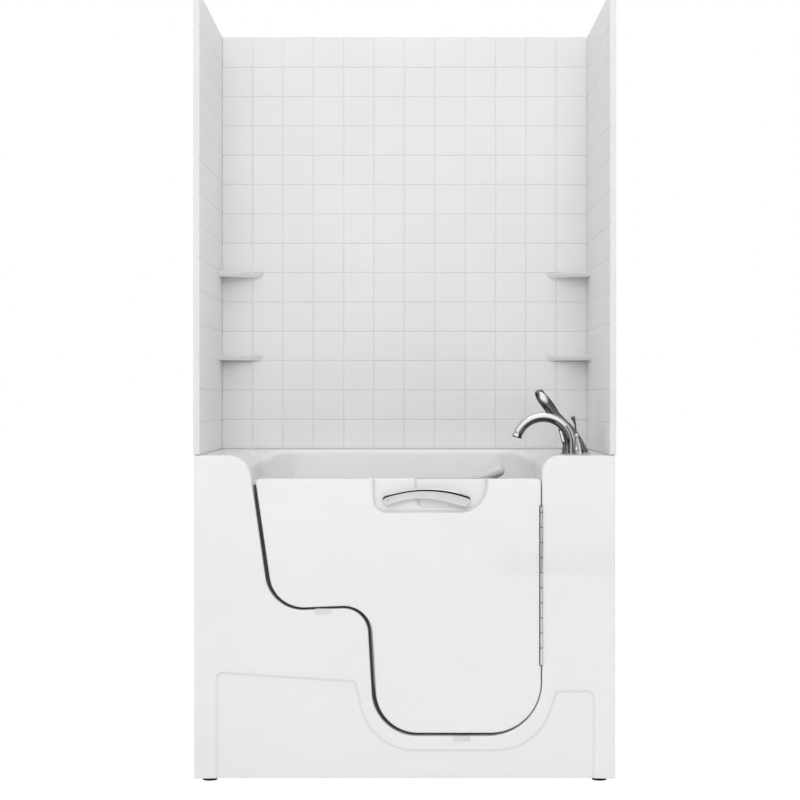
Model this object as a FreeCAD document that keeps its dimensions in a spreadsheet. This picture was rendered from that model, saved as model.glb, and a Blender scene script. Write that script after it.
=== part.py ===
import FreeCAD, Part
import math
import os
import re
import Sketcher
from FreeCAD import Placement, Rotation, Vector

# Walk-in air bath with an outward-swinging door, deck taps and a tiled wall surround.
# Millimetres. +Z is up, the front faces -Y, the origin is under the middle of the unit.

doc = FreeCAD.newDocument("walk_in_bath")
sheet = doc.addObject("Spreadsheet::Sheet", "Sizes")

sizes = {
    # tub body
    "tub_width": 1346,
    "tub_depth": 737,
    "deck_height": 1047,
    "shell_wall": 8,
    "apron_wall": 12,
    "apron_lift": 14,
    "front_round": 5,
    "rim_round": 6,
    # basin
    "basin_left": -480,
    "basin_right": 445,
    "ledge_depth": 108,
    "seat_height": 560,
    "seat_front": -95,
    "floor_height": 140,
    "basin_corner": 50,
    "basin_sweep": 120,
    "basin_front_corner": 30,
    "basin_fillet": 25,
    "seat_nose": 18,
    # door line: middle of the gap between door and apron
    "jamb_top_x": -494,
    "jamb_foot_x": -424,
    "step_left_height": 556,
    "step_right_height": 564.5,
    "riser_top_x": -115,
    "riser_foot_x": -91,
    "sill_height": 154.5,
    "hinge_x": 437.5,
    "jamb_radius": 110,
    "step_radius": 86,
    "toe_radius": 140,
    "heel_radius": 167,
    "apron_left_radius": 70,
    "apron_right_radius": 56,
    "gap_jamb": 12.8,
    "gap_step": 8,
    "gap_riser": 13,
    "gap_sill": 9.6,
    "gap_hinge": 3,
    "liner_wall": 8,
    "shoulder_depth": 90,
    "flange_lap": 25,
    "opening_lip": 34,
    # apron relief
    "relief_depth": 3,
    "relief_left": -603.5,
    "relief_left_height": 348,
    "relief_knee_x": -157,
    "relief_knee_height": 320,
    "relief_dip_left": -125,
    "relief_dip_right": 470,
    "relief_dip_height": 102,
    "relief_right_knee": 497,
    "relief_right": 608.5,
    "relief_right_height": 293.5,
    "relief_corner": 18,
    "relief_sweep": 150,
    # door
    "door_top": 974,
    "door_depth": 66,
    "door_skin_depth": 40,
    "door_wall": 10,
    "door_top_radius": 12,
    "door_edge_round": 6,
    "inner_inset": 2,
    "core_fit": 0.3,
    "seal_inset": 6,
    "seal_width": 12,
    "seal_depth": 8,
    "seal_clearance": 0.3,
    # handle recess and pull handle
    "recess_left": -104,
    "recess_right": 270,
    "recess_bottom": 869,
    "recess_depth": 18,
    "recess_left_radius": 36,
    "recess_right_radius": 60,
    "scoop_left": 33,
    "scoop_right": 178,
    "scoop_bottom": 884,
    "scoop_depth": 34,
    "scoop_radius": 30,
    "pull_centre_x": 69.5,
    "pull_span": 256,
    "pull_height": 906,
    "pull_rise": 24,
    "pull_radius": 11,
    "pull_end_radius": 12,
    "pull_setback": 5,
    "pull_post_radius": 7,
    "pull_screw_radius": 2.5,
    "pull_screw_bite": 8,
    "pull_head_radius": 5,
    "pull_head_height": 4,
    # hinge
    "hinge_out": 3,
    "barrel_radius": 4.5,
    "hinge_pin_radius": 2,
    "pin_fit": 0.3,
    "leaf_thick": 1.2,
    "leaf_width": 28,
    "leaf_bottom": 377,
    "leaf_length": 508,
    "knuckle_first": 24,
    "knuckle_pitch": 48.1,
    "knuckle_gap": 0.6,
    "knuckle_count": 11,
    "leaf_relief": 0.5,
    "leaf_screw_radius": 2,
    "leaf_screw_length": 7,
    "leaf_screw_pitch": 96,
    "leaf_screw_count": 5,
    "screw_fit": 0.2,
    # latch
    "latch_x": 162,
    "latch_height": 934,
    "lever_angle": 23,
    "lever_length": 153,
    "lever_neck_length": 40,
    "grip_radius": 19,
    "lever_hub_radius": 22,
    "lever_neck_radius": 13,
    "rose_radius": 30,
    "rose_depth": 8,
    "spindle_radius": 6,
    "spindle_fit": 0.3,
    "pinion_pitch_radius": 14,
    "pinion_teeth": 14,
    "pinion_thick": 8,
    "tooth_tip": 1.4,
    "tooth_root": 1.9,
    "tooth_flank": 25,
    "tooth_fit": 0.4,
    "rack_width": 10,
    "rack_depth": 8,
    "rack_fit": 1,
    "rack_top": 966,
    "rack_teeth": 7,
    "rack_teeth_below": 1.5,
    "rack_rest_lift": 2,
    "latch_setback": 3,
    # pale plates under the door line
    "pad_width": 50,
    "pad_drop": 17,
    "pad_thick": 2.5,
    "pad_round": 2,
    "pad_depth": 52,
    "rest_pad_x": -261,
    "keeper_fit": 1.5,
    # frame and feet
    "tube_size": 40,
    "tube_wall": 2.5,
    "post_size": 30,
    "frame_base": 28,
    "rail_inset": 45,
    "frame_end_x": 628,
    "foot_radius": 24,
    "foot_height": 12,
    "foot_taper": 6,
    "stud_radius": 6,
    "stud_reach": 14,
    "nut_radius": 11,
    "nut_height": 8,
    "seat_post_outer": -420,
    "seat_post_inner": -150,
    "well_post_inner": 60,
    "well_post_outer": 375,
    "post_spread": 215,
    "bracket_size": 36,
    "bracket_thick": 4,
    # surround
    "panel_wall": 20.5,
    "panel_proud": 3.5,
    "panel_height": 1480,
    "bed_height": 3,
    "bed_inset": 1.5,
    "tile_width": 109.3,
    "tile_height": 105.7,
    "tile_columns": 12,
    "tile_rows": 14,
    "side_columns": 6,
    "grout_width": 3.2,
    "grout_depth": 1.5,
    "shelf_depth": 127,
    "shelf_width": 148,
    "shelf_thick": 18,
    "shelf_cove": 10,
    "shelf_low_rise": 332,
    "shelf_high_rise": 629,
    # taps on the right deck
    "spout_inset": 132.5,
    "spout_setback": 95,
    "spout_radius": 90,
    "spout_rise": 31,
    "spout_tube": 13.5,
    "spout_sweep": 166,
    "spout_bore": 8,
    "spout_flange_radius": 17,
    "spout_flange_height": 5,
    "aerator_radius": 10,
    "aerator_length": 4,
    "aerator_wall": 2.5,
    "shank_radius": 14,
    "shank_length": 62,
    "shank_fit": 0.5,
    "rose_plate_radius": 24,
    "rose_plate_height": 6,
    "stem_radius": 5,
    "stem_length": 21,
    "stem_fit": 0.4,
    "handle_gap": 0.5,
    "bell_base_radius": 19,
    "bell_top_radius": 9,
    "bell_height": 26,
    "hot_inset": 147,
    "hot_setback": 163,
    "cold_inset": 91,
    "cold_setback": 330,
    "diverter_inset": 89,
    "diverter_setback": 430,
    "lever_rise": 85,
    "lever_lean": 18,
    "lever_bend": 6,
    "lever_tip_radius": 8,
    "lever_waist_radius": 6,
    "diverter_rise": 118,
    "diverter_lean": 6,
    "diverter_bend": 2,
    "diverter_tip_radius": 7,
    "shower_inset": 72.5,
    "shower_setback": 235,
    "shower_rise": 208,
    "shower_lean": 153,
    "shower_base_radius": 10.5,
    "shower_neck_radius": 14,
    "shower_grip_radius": 15.5,
    "shower_throat_radius": 18,
    "shower_head_radius": 21,
    "shower_brow_radius": 17,
    "shower_tip_radius": 9,
    "shower_spigot_radius": 8,
    "shower_spigot_length": 22,
    "holder_radius": 20,
    "holder_height": 8,
    "holder_sleeve_length": 30,
    "inlet_radius": 10.5,
    "inlet_length": 70,
    "pipe_radius": 8,
    "pipe_drop": 42,
    "union_length": 24,
    # waste
    "drain_x": 330,
    "drain_flange_radius": 38,
    "drain_flange_height": 3,
    "drain_throat_radius": 25,
    "drain_throat_wall": 3,
    "drain_throat_length": 45,
    "drain_fit": 0.5,
    "stopper_radius": 31,
    "stopper_height": 5,
    "stopper_gap": 0.4,
    "stopper_stem_radius": 4,
    "stopper_stem_length": 40,
    "stopper_guide_radius": 8,
    "stopper_guide_height": 5,
    "stopper_guide_thick": 4,
    "stopper_guide_drop": 22,
    "waste_radius": 20,
    "waste_branch_radius": 17,
    "waste_wall": 3,
    "waste_height": 97,
    "overflow_x": 505,
    "overflow_height": 880,
    "overflow_plate_radius": 38,
    "overflow_plate_depth": 6,
    "overflow_knob_radius": 30,
    "overflow_knob_depth": 20,
    "overflow_hub_radius": 6,
    "overflow_grip_count": 6,
    "overflow_grip_radius": 6,
    "overflow_grip_length": 14,
    "tail_bottom": 20,
    "tail_radius": 18,
    # air system
    "jet_cap_radius": 11,
    "jet_cap_height": 3,
    "jet_stem_radius": 6,
    "jet_stem_length": 22,
    "jet_bore": 2,
    "jet_fit": 0.3,
    "floor_jet_first": 40,
    "floor_jet_pitch": 85,
    "floor_jet_count": 5,
    "floor_jet_spread": 150,
    "seat_jet_first": -400,
    "seat_jet_pitch": 100,
    "seat_jet_count": 3,
    "seat_jet_spread": 120,
    "channel_width": 60,
    "channel_height": 50,
    "channel_wall": 4,
    "seat_channel_height": 36,
    "channel_left": -55,
    "channel_right": 408,
    "seat_channel_left": -435,
    "seat_channel_right": -122,
    "air_pipe_radius": 20,
    "air_pipe_wall": 2.5,
    "air_riser_x": -150,
    "blower_x": -300,
    "blower_y": 66,
    "blower_radius": 85,
    "blower_height": 60,
    "blower_wall": 5,
    "blower_leg_radius": 7,
    "blower_leg_circle": 68,
    "blower_leg_count": 3,
    "blower_leg_turn": 30,
    "intake_radius": 28,
    "motor_radius": 55,
    "motor_height": 105,
    "motor_shaft_radius": 5,
    "impeller_radius": 70,
    "impeller_height": 40,
    "impeller_hub": 14,
    "impeller_vanes": 8,
    "impeller_vane_thick": 3,
    "impeller_fit": 0.4,
    "tray_thick": 5,
    "tray_left": -440,
    "tray_right": -130,
    "tray_front": -200,
    "tray_back": 185,
    "valve_radius": 29,
    "valve_length": 35,
    "control_length": 120,
    "control_width": 70,
    "control_height": 80,
    "gland_radius": 8,
    "gland_bore": 4,
    "gland_length": 8,
    "button_inset": 98,
    "button_setback": 565,
    "button_radius": 17,
    "button_rise": 2,
    "button_length": 26,
    "button_travel": 5,
    "button_fit": 0.5,
    "bezel_radius": 25,
    "bezel_height": 4,
    "button_body_radius": 21,
    "button_body_length": 30,
}
for row, (alias, amount) in enumerate(sizes.items(), start=1):
    sheet.set(f"A{row}", alias)
    sheet.set(f"B{row}", str(amount))
    sheet.setAlias(f"B{row}", alias)
doc.recompute()

nodes = {}
along_x = Rotation(Vector(0, 1, 0), 90)
along_y = Rotation(Vector(1, 0, 0), -90)
against_x = Rotation(Vector(0, 1, 0), -90)


def linked(expression):
    def swap(word):
        return f"Sizes.{word.group()}" if word.group() in sizes else word.group()
    return re.sub(r"[a-z]\w*", swap, str(expression))


def amount_of(expression):
    return float(sheet.evalExpression(linked(expression)))


def bind(item, field, expression):
    item.setExpression(field, linked(expression))


def place(item, at, turn=None):
    if turn:
        item.Placement = Placement(Vector(), turn)
    for axis, expression in zip("xyz", at):
        bind(item, f"Placement.Base.{axis}", expression)
    return item


def block(name, low, high):
    item = doc.addObject("Part::Box", name)
    for field, start, end in zip(("Length", "Width", "Height"), low, high):
        bind(item, field, f"({end}) - ({start})")
    return place(item, low)


def rod(name, radius, length, at, turn=None):
    item = doc.addObject("Part::Cylinder", name)
    bind(item, "Radius", radius)
    bind(item, "Height", length)
    return place(item, at, turn)


def cone(name, base_radius, top_radius, length, at, turn=None):
    item = doc.addObject("Part::Cone", name)
    bind(item, "Radius1", base_radius)
    bind(item, "Radius2", top_radius)
    bind(item, "Height", length)
    return place(item, at, turn)


def ball(name, radius, at):
    item = doc.addObject("Part::Sphere", name)
    bind(item, "Radius", radius)
    return place(item, at)


def join(name, *items):
    item = doc.addObject("Part::MultiFuse", name)
    item.Shapes = list(items)
    item.Refine = True
    return item


def cut(name, base, *tools):
    item = doc.addObject("Part::Cut", name)
    item.Base = base
    item.Tool = tools[0] if len(tools) == 1 else join(f"{name}_tools", *tools)
    return item


def tube(name, outer, inner, length, at, turn=None):
    wall = rod(f"{name}_outer", outer, length, at, turn)
    return cut(name, wall, rod(f"{name}_bore", inner, length, at, turn))


def group(name, items):
    item = doc.addObject("Part::Compound", name)
    item.Links = list(items)
    return item


def node(label, item):
    item.Label = label
    nodes[label] = item
    return item


def origin_feature(body, role):
    return next(feature for feature in body.Origin.OriginFeatures if feature.Role == role)


def sketch_on(body, plane, level):
    sketch = body.newObject("Sketcher::SketchObject", f"{body.Name}_outline")
    sketch.AttachmentSupport = [(origin_feature(body, plane), "")]
    sketch.MapMode = "FlatFace"
    bind(sketch, "AttachmentOffset.Base.z", level)
    return sketch


def pin_point(sketch, line, end, point):
    for kind, expression in zip(("DistanceX", "DistanceY"), point):
        rule = Sketcher.Constraint(kind, -1, 1, line, end, amount_of(expression))
        bind(sketch, f"Constraints[{sketch.addConstraint(rule)}]", expression)


def corner_arc(before, here, after, radius):
    to_before = (before - here).normalize()
    to_after = (after - here).normalize()
    half = to_before.getAngle(to_after) / 2
    trim = radius / math.tan(half)
    centre = here + (to_before + to_after).normalize() * (radius / math.sin(half))
    start, end = here + to_before * trim, here + to_after * trim
    left_turn = to_before.cross(to_after).z < 0
    first, last = (start, end) if left_turn else (end, start)
    angles = [math.atan2(spot.y - centre.y, spot.x - centre.x) for spot in (first, last)]
    arc = Part.ArcOfCircle(Part.Circle(centre, Vector(0, 0, 1), radius), *angles)
    return arc, start, end, left_turn


# Closed outline through the given corners. A corner with a third value is rounded to that radius.
def outline(body, plane, level, points):
    sketch = sketch_on(body, plane, level)
    spots = [Vector(amount_of(point[0]), amount_of(point[1]), 0) for point in points]
    count = len(spots)
    for index, spot in enumerate(spots):
        sketch.addGeometry(Part.LineSegment(spot, spots[(index + 1) % count]), True)
    for index, point in enumerate(points):
        sketch.addConstraint(Sketcher.Constraint("Coincident", index, 2, (index + 1) % count, 1))
        pin_point(sketch, index, 1, point[:2])
    starts, ends = list(spots), spots[1:] + spots[:1]
    arcs = {}
    for index, point in enumerate(points):
        if len(point) == 3:
            arc, end_before, start_after, left_turn = corner_arc(
                spots[index - 1], spots[index], spots[(index + 1) % count], amount_of(point[2]))
            ends[index - 1] = end_before
            starts[index] = start_after
            arcs[index] = (arc, left_turn)
    for start, end in zip(starts, ends):
        sketch.addGeometry(Part.LineSegment(start, end))
    for index, point in enumerate(points):
        side_before, side_after = count + (index - 1) % count, count + index
        if index not in arcs:
            sketch.addConstraint(Sketcher.Constraint("Coincident", side_before, 2, index, 1))
            sketch.addConstraint(Sketcher.Constraint("Coincident", side_after, 1, index, 1))
            continue
        arc, left_turn = arcs[index]
        curve = sketch.addGeometry(arc)
        sketch.addConstraint(Sketcher.Constraint("PointOnObject", side_before, 2, (index - 1) % count))
        sketch.addConstraint(Sketcher.Constraint("PointOnObject", side_after, 1, index))
        arc_start, arc_end = (1, 2) if left_turn else (2, 1)
        sketch.addConstraint(Sketcher.Constraint("Tangent", side_before, 2, curve, arc_start))
        sketch.addConstraint(Sketcher.Constraint("Tangent", side_after, 1, curve, arc_end))
        rule = Sketcher.Constraint("Radius", curve, amount_of(point[2]))
        bind(sketch, f"Constraints[{sketch.addConstraint(rule)}]", point[2])
    return sketch


def discs(body, plane, level, centres, radius):
    sketch = sketch_on(body, plane, level)
    for index, centre in enumerate(centres):
        spot = Vector(amount_of(centre[0]), amount_of(centre[1]), 0)
        sketch.addGeometry(Part.Circle(spot, Vector(0, 0, 1), amount_of(radius)))
        pin_point(sketch, index, 3, centre)
        rule = Sketcher.Constraint("Radius", index, amount_of(radius))
        bind(sketch, f"Constraints[{sketch.addConstraint(rule)}]", radius)
    return sketch


def disc(body, plane, level, centre, radius):
    return discs(body, plane, level, [centre], radius)


def rectangle(low, high):
    return [(low[0], low[1]), (high[0], low[1]), (high[0], high[1]), (low[0], high[1])]


def feature(body, kind, sketch, length, turned=False):
    item = body.newObject(f"PartDesign::{kind}", f"{body.Name}_{kind.lower()}")
    item.Profile = sketch
    item.Reversed = turned
    bind(item, "Length", length)
    doc.recompute()
    return item


def pad(body, sketch, length, turned=False):
    return feature(body, "Pad", sketch, length, turned)


def pocket(body, sketch, length, turned=False):
    before = body.Shape.Volume
    item = feature(body, "Pocket", sketch, length, turned)
    if body.Shape.Volume >= before:
        raise ValueError(f"{item.Name} cuts nothing")
    return item


def drill(body, plane, level, centres, radius, depth, turned=False):
    return pocket(body, discs(body, plane, level, centres, radius), depth, turned)


def edge_names(shape, wanted):
    names = [f"Edge{number}" for number, edge in enumerate(shape.Edges, start=1) if wanted(edge)]
    if not names:
        raise ValueError("no such edge")
    return names


def soften(body, kind, field, size, wanted):
    base = body.Tip
    item = body.newObject(f"PartDesign::{kind}", f"{body.Name}_{kind.lower()}")
    item.Base = (base, edge_names(base.Shape, wanted))
    bind(item, field, size)
    doc.recompute()
    if "Invalid" in item.State:
        raise ValueError(f"{item.Name} failed: {item.getStatusString()}")
    return item


def round_edges(body, radius, wanted):
    return soften(body, "Fillet", "Radius", radius, wanted)


def middle(edge):
    return edge.valueAt((edge.FirstParameter + edge.LastParameter) / 2)


def near(first, second):
    return abs(first - second) < 0.01


def copies(body, original, direction, length, count, turned=False):
    item = body.newObject("PartDesign::LinearPattern", f"{body.Name}_row")
    item.Originals = [original]
    item.Direction = (origin_feature(body, direction), [""])
    item.Reversed = turned
    bind(item, "Length", length)
    bind(item, "Occurrences", count)
    body.Tip = item
    doc.recompute()
    return item


def ring_copies(body, original, axis, count):
    item = body.newObject("PartDesign::PolarPattern", f"{body.Name}_ring")
    item.Originals = [original]
    item.Axis = (origin_feature(body, axis), [""])
    item.Angle = 360
    bind(item, "Occurrences", count)
    body.Tip = item
    doc.recompute()
    return item


# Turns a section about a line through the given point of its sketch, level or upright in that sketch
def revolve(body, sketch, axis_point, direction, angle):
    start = Vector(amount_of(axis_point[0]), amount_of(axis_point[1]), 0)
    step = Vector(1, 0, 0) if direction == "Horizontal" else Vector(0, 1, 0)
    line = sketch.addGeometry(Part.LineSegment(start, start + step), True)
    pin_point(sketch, line, 1, axis_point)
    sketch.addConstraint(Sketcher.Constraint(direction, line))
    sketch.addConstraint(Sketcher.Constraint("Distance", line, 1))
    item = body.newObject("PartDesign::Revolution", f"{body.Name}_turn")
    item.Profile = sketch
    item.ReferenceAxis = (sketch, ["Axis0"])
    bind(item, "Angle", angle)
    return item


def loft(body, sections):
    rings = [disc(body, "XY_Plane", height, (x, y), radius) for x, y, height, radius in sections]
    item = body.newObject("PartDesign::AdditiveLoft", f"{body.Name}_loft")
    item.Profile = rings[0]
    item.Sections = rings[1:]
    doc.recompute()
    return item


# Shared planes, front to back
front = "((hinge_out + barrel_radius - tub_depth) / 2)"
back = "((hinge_out + barrel_radius + tub_depth) / 2)"
half_width = "(tub_width / 2)"
apron_back = f"({front} + apron_wall)"
door_split = f"({front} + door_skin_depth)"
door_back = f"({front} + door_depth)"
flange_front = f"({door_back} + seal_depth)"
basin_front = f"({flange_front} + shell_wall)"
basin_back = f"({back} - ledge_depth)"
basin_middle = f"(({basin_front} + {basin_back}) / 2)"
hinge_axis_y = f"({front} - hinge_out)"
leaf_screw_y = f"({front} + leaf_width / 2)"

# Shared levels
deck_under = "(deck_height - shell_wall)"
floor_under = "(floor_height - shell_wall)"
seat_under = "(seat_height - shell_wall)"
panel_base = "(deck_height + bed_height)"
frame_top = "(frame_base + tube_size)"
rod_bottom = "(sill_height + gap_sill / 2 + inner_inset + rack_rest_lift)"
tray_top = f"({frame_top} + tray_thick)"
air_height = f"({floor_under} - channel_height / 2)"

# Shared sides
panel_face = f"({back} - panel_wall)"
panel_outer = f"({half_width} + panel_proud)"
panel_inner = f"({panel_outer} - panel_wall)"
jamb_slope = "((jamb_foot_x - jamb_top_x) / (deck_height - step_left_height))"
mean_half_gap = "((gap_jamb + gap_step + gap_riser + gap_sill) / 8)"
gaps = ("gap_jamb", "gap_step", "gap_riser", "gap_sill", "gap_hinge")
rack_pitch_x = "(latch_x + pinion_pitch_radius)"
rack_back_x = f"({rack_pitch_x} + tooth_root)"
rack_centre_x = f"({rack_back_x} + rack_width / 2)"
rack_front_y = f"({door_split} + latch_setback)"
rack_centre_y = f"({rack_front_y} + rack_depth / 2)"
gear_room_radius = "(pinion_pitch_radius + tooth_root + rack_fit)"
tooth_pitch = "(2 * pi * pinion_pitch_radius / pinion_teeth)"
air_line_y = "(blower_y - blower_radius + air_pipe_radius + blower_wall)"


def jamb_x(height, outward):
    return f"jamb_foot_x - {jamb_slope} * (({height}) - step_left_height) - ({outward})"


# Corners of the boot-shaped door line up to a given height, each side moved outwards by its own amount
def door_line(top, sides, outward):
    jamb, step, riser, sill, hinge = sides
    return [
        (jamb_x(top, jamb), top),
        (f"jamb_foot_x - ({jamb})", f"step_left_height - ({step})", f"jamb_radius + ({outward})"),
        (f"riser_top_x - ({riser})", f"step_right_height - ({step})", f"step_radius - ({outward})"),
        (f"riser_foot_x - ({riser})", f"sill_height - ({sill})", f"toe_radius + ({outward})"),
        (f"hinge_x + ({hinge})", f"sill_height - ({sill})", f"heel_radius + ({outward})"),
        (f"hinge_x + ({hinge})", top),
    ]


def even_line(top, outward):
    return door_line(top, [outward] * len(gaps), outward)


def jamb_line(top, outward="0"):
    return door_line(top, [f"{gap} / 2 + ({outward})" for gap in gaps], f"{mean_half_gap} + ({outward})")


def door_edge(top, inward="0"):
    return door_line(top, [f"-{gap} / 2 - ({inward})" for gap in gaps], f"-{mean_half_gap} - ({inward})")


def round_ends(line, left, right):
    return [(*line[0], left), *line[1:-1], (*line[-1], right)]


def shoulder_ends():
    left = f"({jamb_x('deck_height', 'gap_jamb / 2')} - apron_left_radius - liner_wall)"
    right = "(hinge_x + gap_hinge / 2 + apron_right_radius + liner_wall)"
    return left, right


def deck_place(name):
    return f"({half_width} - {name}_inset)", f"({front} + {name}_setback)"


def tap_places():
    names = ("spout", "hot", "cold", "diverter", "shower")
    return {name: deck_place(name) for name in names}


jet_zones = ("floor", "seat")


def jet_places(zone):
    for column in range(int(amount_of(f"{zone}_jet_count"))):
        for side in ("-", "+"):
            x = f"{zone}_jet_first + {column} * {zone}_jet_pitch"
            yield x, f"{basin_middle} {side} {zone}_jet_spread"


# Basin, seat and deck as one moulding
def make_tub_shell():
    body = doc.addObject("PartDesign::Body", "tub_shell")
    left_shoulder, right_shoulder = shoulder_ends()
    deck = [
        (f"-{half_width}", apron_back),
        (left_shoulder, apron_back),
        (left_shoulder, flange_front),
        (right_shoulder, flange_front),
        (right_shoulder, apron_back),
        (half_width, apron_back),
        (half_width, back),
        (f"-{half_width}", back),
    ]
    pad(body, outline(body, "XY_Plane", deck_under, deck), "shell_wall")
    flange = even_line("deck_height", "flange_lap")
    pad(body, outline(body, "XZ_Plane", f"-({flange_front})", flange), "shell_wall", True)
    outer_back = f"({basin_back} + shell_wall)"
    outer_left = "(basin_left - shell_wall)"
    outer_right = "(basin_right + shell_wall)"
    outer_step = "(seat_front - shell_wall)"
    well = [
        (outer_step, flange_front),
        (outer_right, flange_front),
        (outer_right, outer_back, "basin_sweep + shell_wall"),
        (outer_step, outer_back),
    ]
    pad(body, outline(body, "XY_Plane", floor_under, well), f"deck_height - {floor_under}")
    seat = [
        (outer_left, flange_front),
        (outer_right, flange_front),
        (outer_right, outer_back, "basin_sweep + shell_wall"),
        (outer_left, outer_back, "basin_corner + shell_wall"),
    ]
    pad(body, outline(body, "XY_Plane", seat_under, seat), f"deck_height - {seat_under}")
    seat_room = [
        ("basin_left", basin_front, "basin_front_corner"),
        ("basin_right", basin_front, "basin_front_corner"),
        ("basin_right", basin_back, "basin_sweep"),
        ("basin_left", basin_back, "basin_corner"),
    ]
    pocket(body, outline(body, "XY_Plane", "deck_height", seat_room), "deck_height - seat_height")
    well_room = [
        ("seat_front", basin_front),
        ("basin_right", basin_front, "basin_front_corner"),
        ("basin_right", basin_back, "basin_sweep"),
        ("seat_front", basin_back),
    ]
    pocket(body, outline(body, "XY_Plane", "deck_height", well_room), "deck_height - floor_height")
    soften_basin(body)
    opening = even_line("deck_height", "-opening_lip")
    pocket(body, outline(body, "XZ_Plane", f"-({flange_front})", opening), "shell_wall")
    drill(body, "XY_Plane", "deck_height", tap_places().values(), "shank_radius + shank_fit", "shell_wall")
    button = [deck_place("button")]
    drill(body, "XY_Plane", "deck_height", button, "button_body_radius + button_fit", "shell_wall")
    drain = ("drain_x", basin_middle)
    drill(body, "XY_Plane", "floor_height", [drain], "drain_throat_radius + drain_fit", "shell_wall")
    overflow = (basin_middle, "overflow_height")
    drill(body, "YZ_Plane", "basin_right", [overflow], "waste_branch_radius + drain_fit", "shell_wall", True)
    for zone in jet_zones:
        drill(body, "XY_Plane", f"{zone}_height", jet_places(zone), "jet_stem_radius + jet_fit", "shell_wall")
    node("tub_shell", body)


def soften_basin(body):
    floor, seat, deck = (amount_of(name) for name in ("floor_height", "seat_height", "deck_height"))
    step = amount_of("seat_front")
    low_x, high_x = amount_of("basin_left"), amount_of("basin_right")
    low_y, high_y = amount_of(basin_front), amount_of(basin_back)

    def inside(edge):
        box = edge.BoundBox
        in_x = box.XMin > low_x - 0.01 and box.XMax < high_x + 0.01
        return in_x and box.YMin > low_y - 0.01 and box.YMax < high_y + 0.01

    def at_level(edge, level):
        return near(edge.BoundBox.ZMin, level) and near(edge.BoundBox.ZMax, level)

    def on_step(edge):
        return near(edge.BoundBox.XMin, step) and near(edge.BoundBox.XMax, step)

    def hollow_edge(edge):
        foot = at_level(edge, floor) or at_level(edge, seat) and not on_step(edge)
        return inside(edge) and (foot or on_step(edge) and edge.BoundBox.ZLength > 1)

    round_edges(body, "basin_fillet", hollow_edge)
    round_edges(body, "seat_nose", lambda edge: inside(edge) and at_level(edge, seat) and on_step(edge))
    round_edges(body, "rim_round", lambda edge: inside(edge) and at_level(edge, deck))


# Front skirt with the jamb that frames the door
def make_front_apron():
    body = doc.addObject("PartDesign::Body", "front_apron")
    line = round_ends(jamb_line("deck_height"), "apron_left_radius", "apron_right_radius")
    skirt = [
        (f"-{half_width}", "deck_height"),
        (f"-{half_width}", "apron_lift"),
        (half_width, "apron_lift"),
        (half_width, "deck_height"),
        *line[::-1],
    ]
    pad(body, outline(body, "XZ_Plane", f"-({front})", skirt), "apron_wall", True)
    face, lowest, side = (amount_of(name) for name in (front, "apron_lift", half_width))
    round_edges(body, "front_round", lambda edge: near(edge.BoundBox.YMax, face)
                and edge.BoundBox.ZMax > lowest + 1 and abs(middle(edge).x) < side - 1)
    left_shoulder, right_shoulder = shoulder_ends()
    shoulder_base = "(deck_height - shoulder_depth)"
    liner = [
        (left_shoulder, "deck_height"),
        (left_shoulder, shoulder_base),
        *jamb_line(shoulder_base, "liner_wall"),
        (right_shoulder, shoulder_base),
        (right_shoulder, "deck_height"),
    ]
    liner_length = f"{flange_front} - {apron_back}"
    pad(body, outline(body, "XZ_Plane", f"-({apron_back})", liner), liner_length, True)
    above_deck = "deck_height + liner_wall"
    mouth = [
        (f"-{half_width}", above_deck),
        (f"-{half_width}", "deck_height"),
        *line,
        (half_width, "deck_height"),
        (half_width, above_deck),
    ]
    pocket(body, outline(body, "XZ_Plane", f"-({apron_back})", mouth), liner_length)
    below = "apron_lift - relief_depth"
    relief = [
        ("relief_left", below),
        ("relief_right", below),
        ("relief_right", "relief_right_height", "relief_corner"),
        ("relief_right_knee", "relief_right_height", "relief_corner"),
        ("relief_dip_right", "relief_dip_height", "relief_sweep"),
        ("relief_dip_left", "relief_dip_height", "relief_sweep"),
        ("relief_knee_x", "relief_knee_height", "relief_corner"),
        ("relief_left", "relief_left_height", "relief_corner"),
    ]
    pocket(body, outline(body, "XZ_Plane", f"-({front})", relief), "relief_depth")
    for x, top in pad_places().values():
        seat = outline(body, "YZ_Plane", f"{x} - pad_width / 2", pad_profile(top))
        pocket(body, seat, "pad_width", True)
    keeper_hole = outline(body, "XY_Plane", "sill_height", bolt_hole())
    pocket(body, keeper_hole, "gap_sill / 2 + liner_wall + pad_drop")
    screws = [(leaf_screw_y, height) for height in leaf_screw_heights()]
    jamb_face = "hinge_x + gap_hinge / 2"
    drill(body, "YZ_Plane", jamb_face, screws, "leaf_screw_radius + screw_fit", "liner_wall", True)
    node("front_apron", body)


# Pale plates that face the door gap: one to rest the door on, one that keeps the latch rod
def pad_places():
    step_slope = "((step_right_height - step_left_height) / (riser_top_x - jamb_foot_x))"
    rest_top = f"step_left_height + {step_slope} * (rest_pad_x - jamb_foot_x) - gap_step / 2"
    keeper_top = "sill_height - gap_sill / 2"
    return {"door_rest_pad": ("rest_pad_x", rest_top), "latch_keeper": (rack_centre_x, keeper_top)}


def pad_profile(top, corner=None):
    nose = (front, top, corner) if corner else (front, top)
    return [
        (front, f"{top} - pad_drop"),
        (f"{front} + pad_thick", f"{top} - pad_drop"),
        (f"{front} + pad_thick", f"{top} - pad_thick"),
        (f"{front} + pad_depth", f"{top} - pad_thick"),
        (f"{front} + pad_depth", top),
        nose,
    ]


def bolt_hole():
    half_x, half_y = "(rack_width / 2 + keeper_fit)", "(rack_depth / 2 + keeper_fit)"
    return rectangle((f"{rack_centre_x} - {half_x}", f"{rack_centre_y} - {half_y}"),
                     (f"{rack_centre_x} + {half_x}", f"{rack_centre_y} + {half_y}"))


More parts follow.
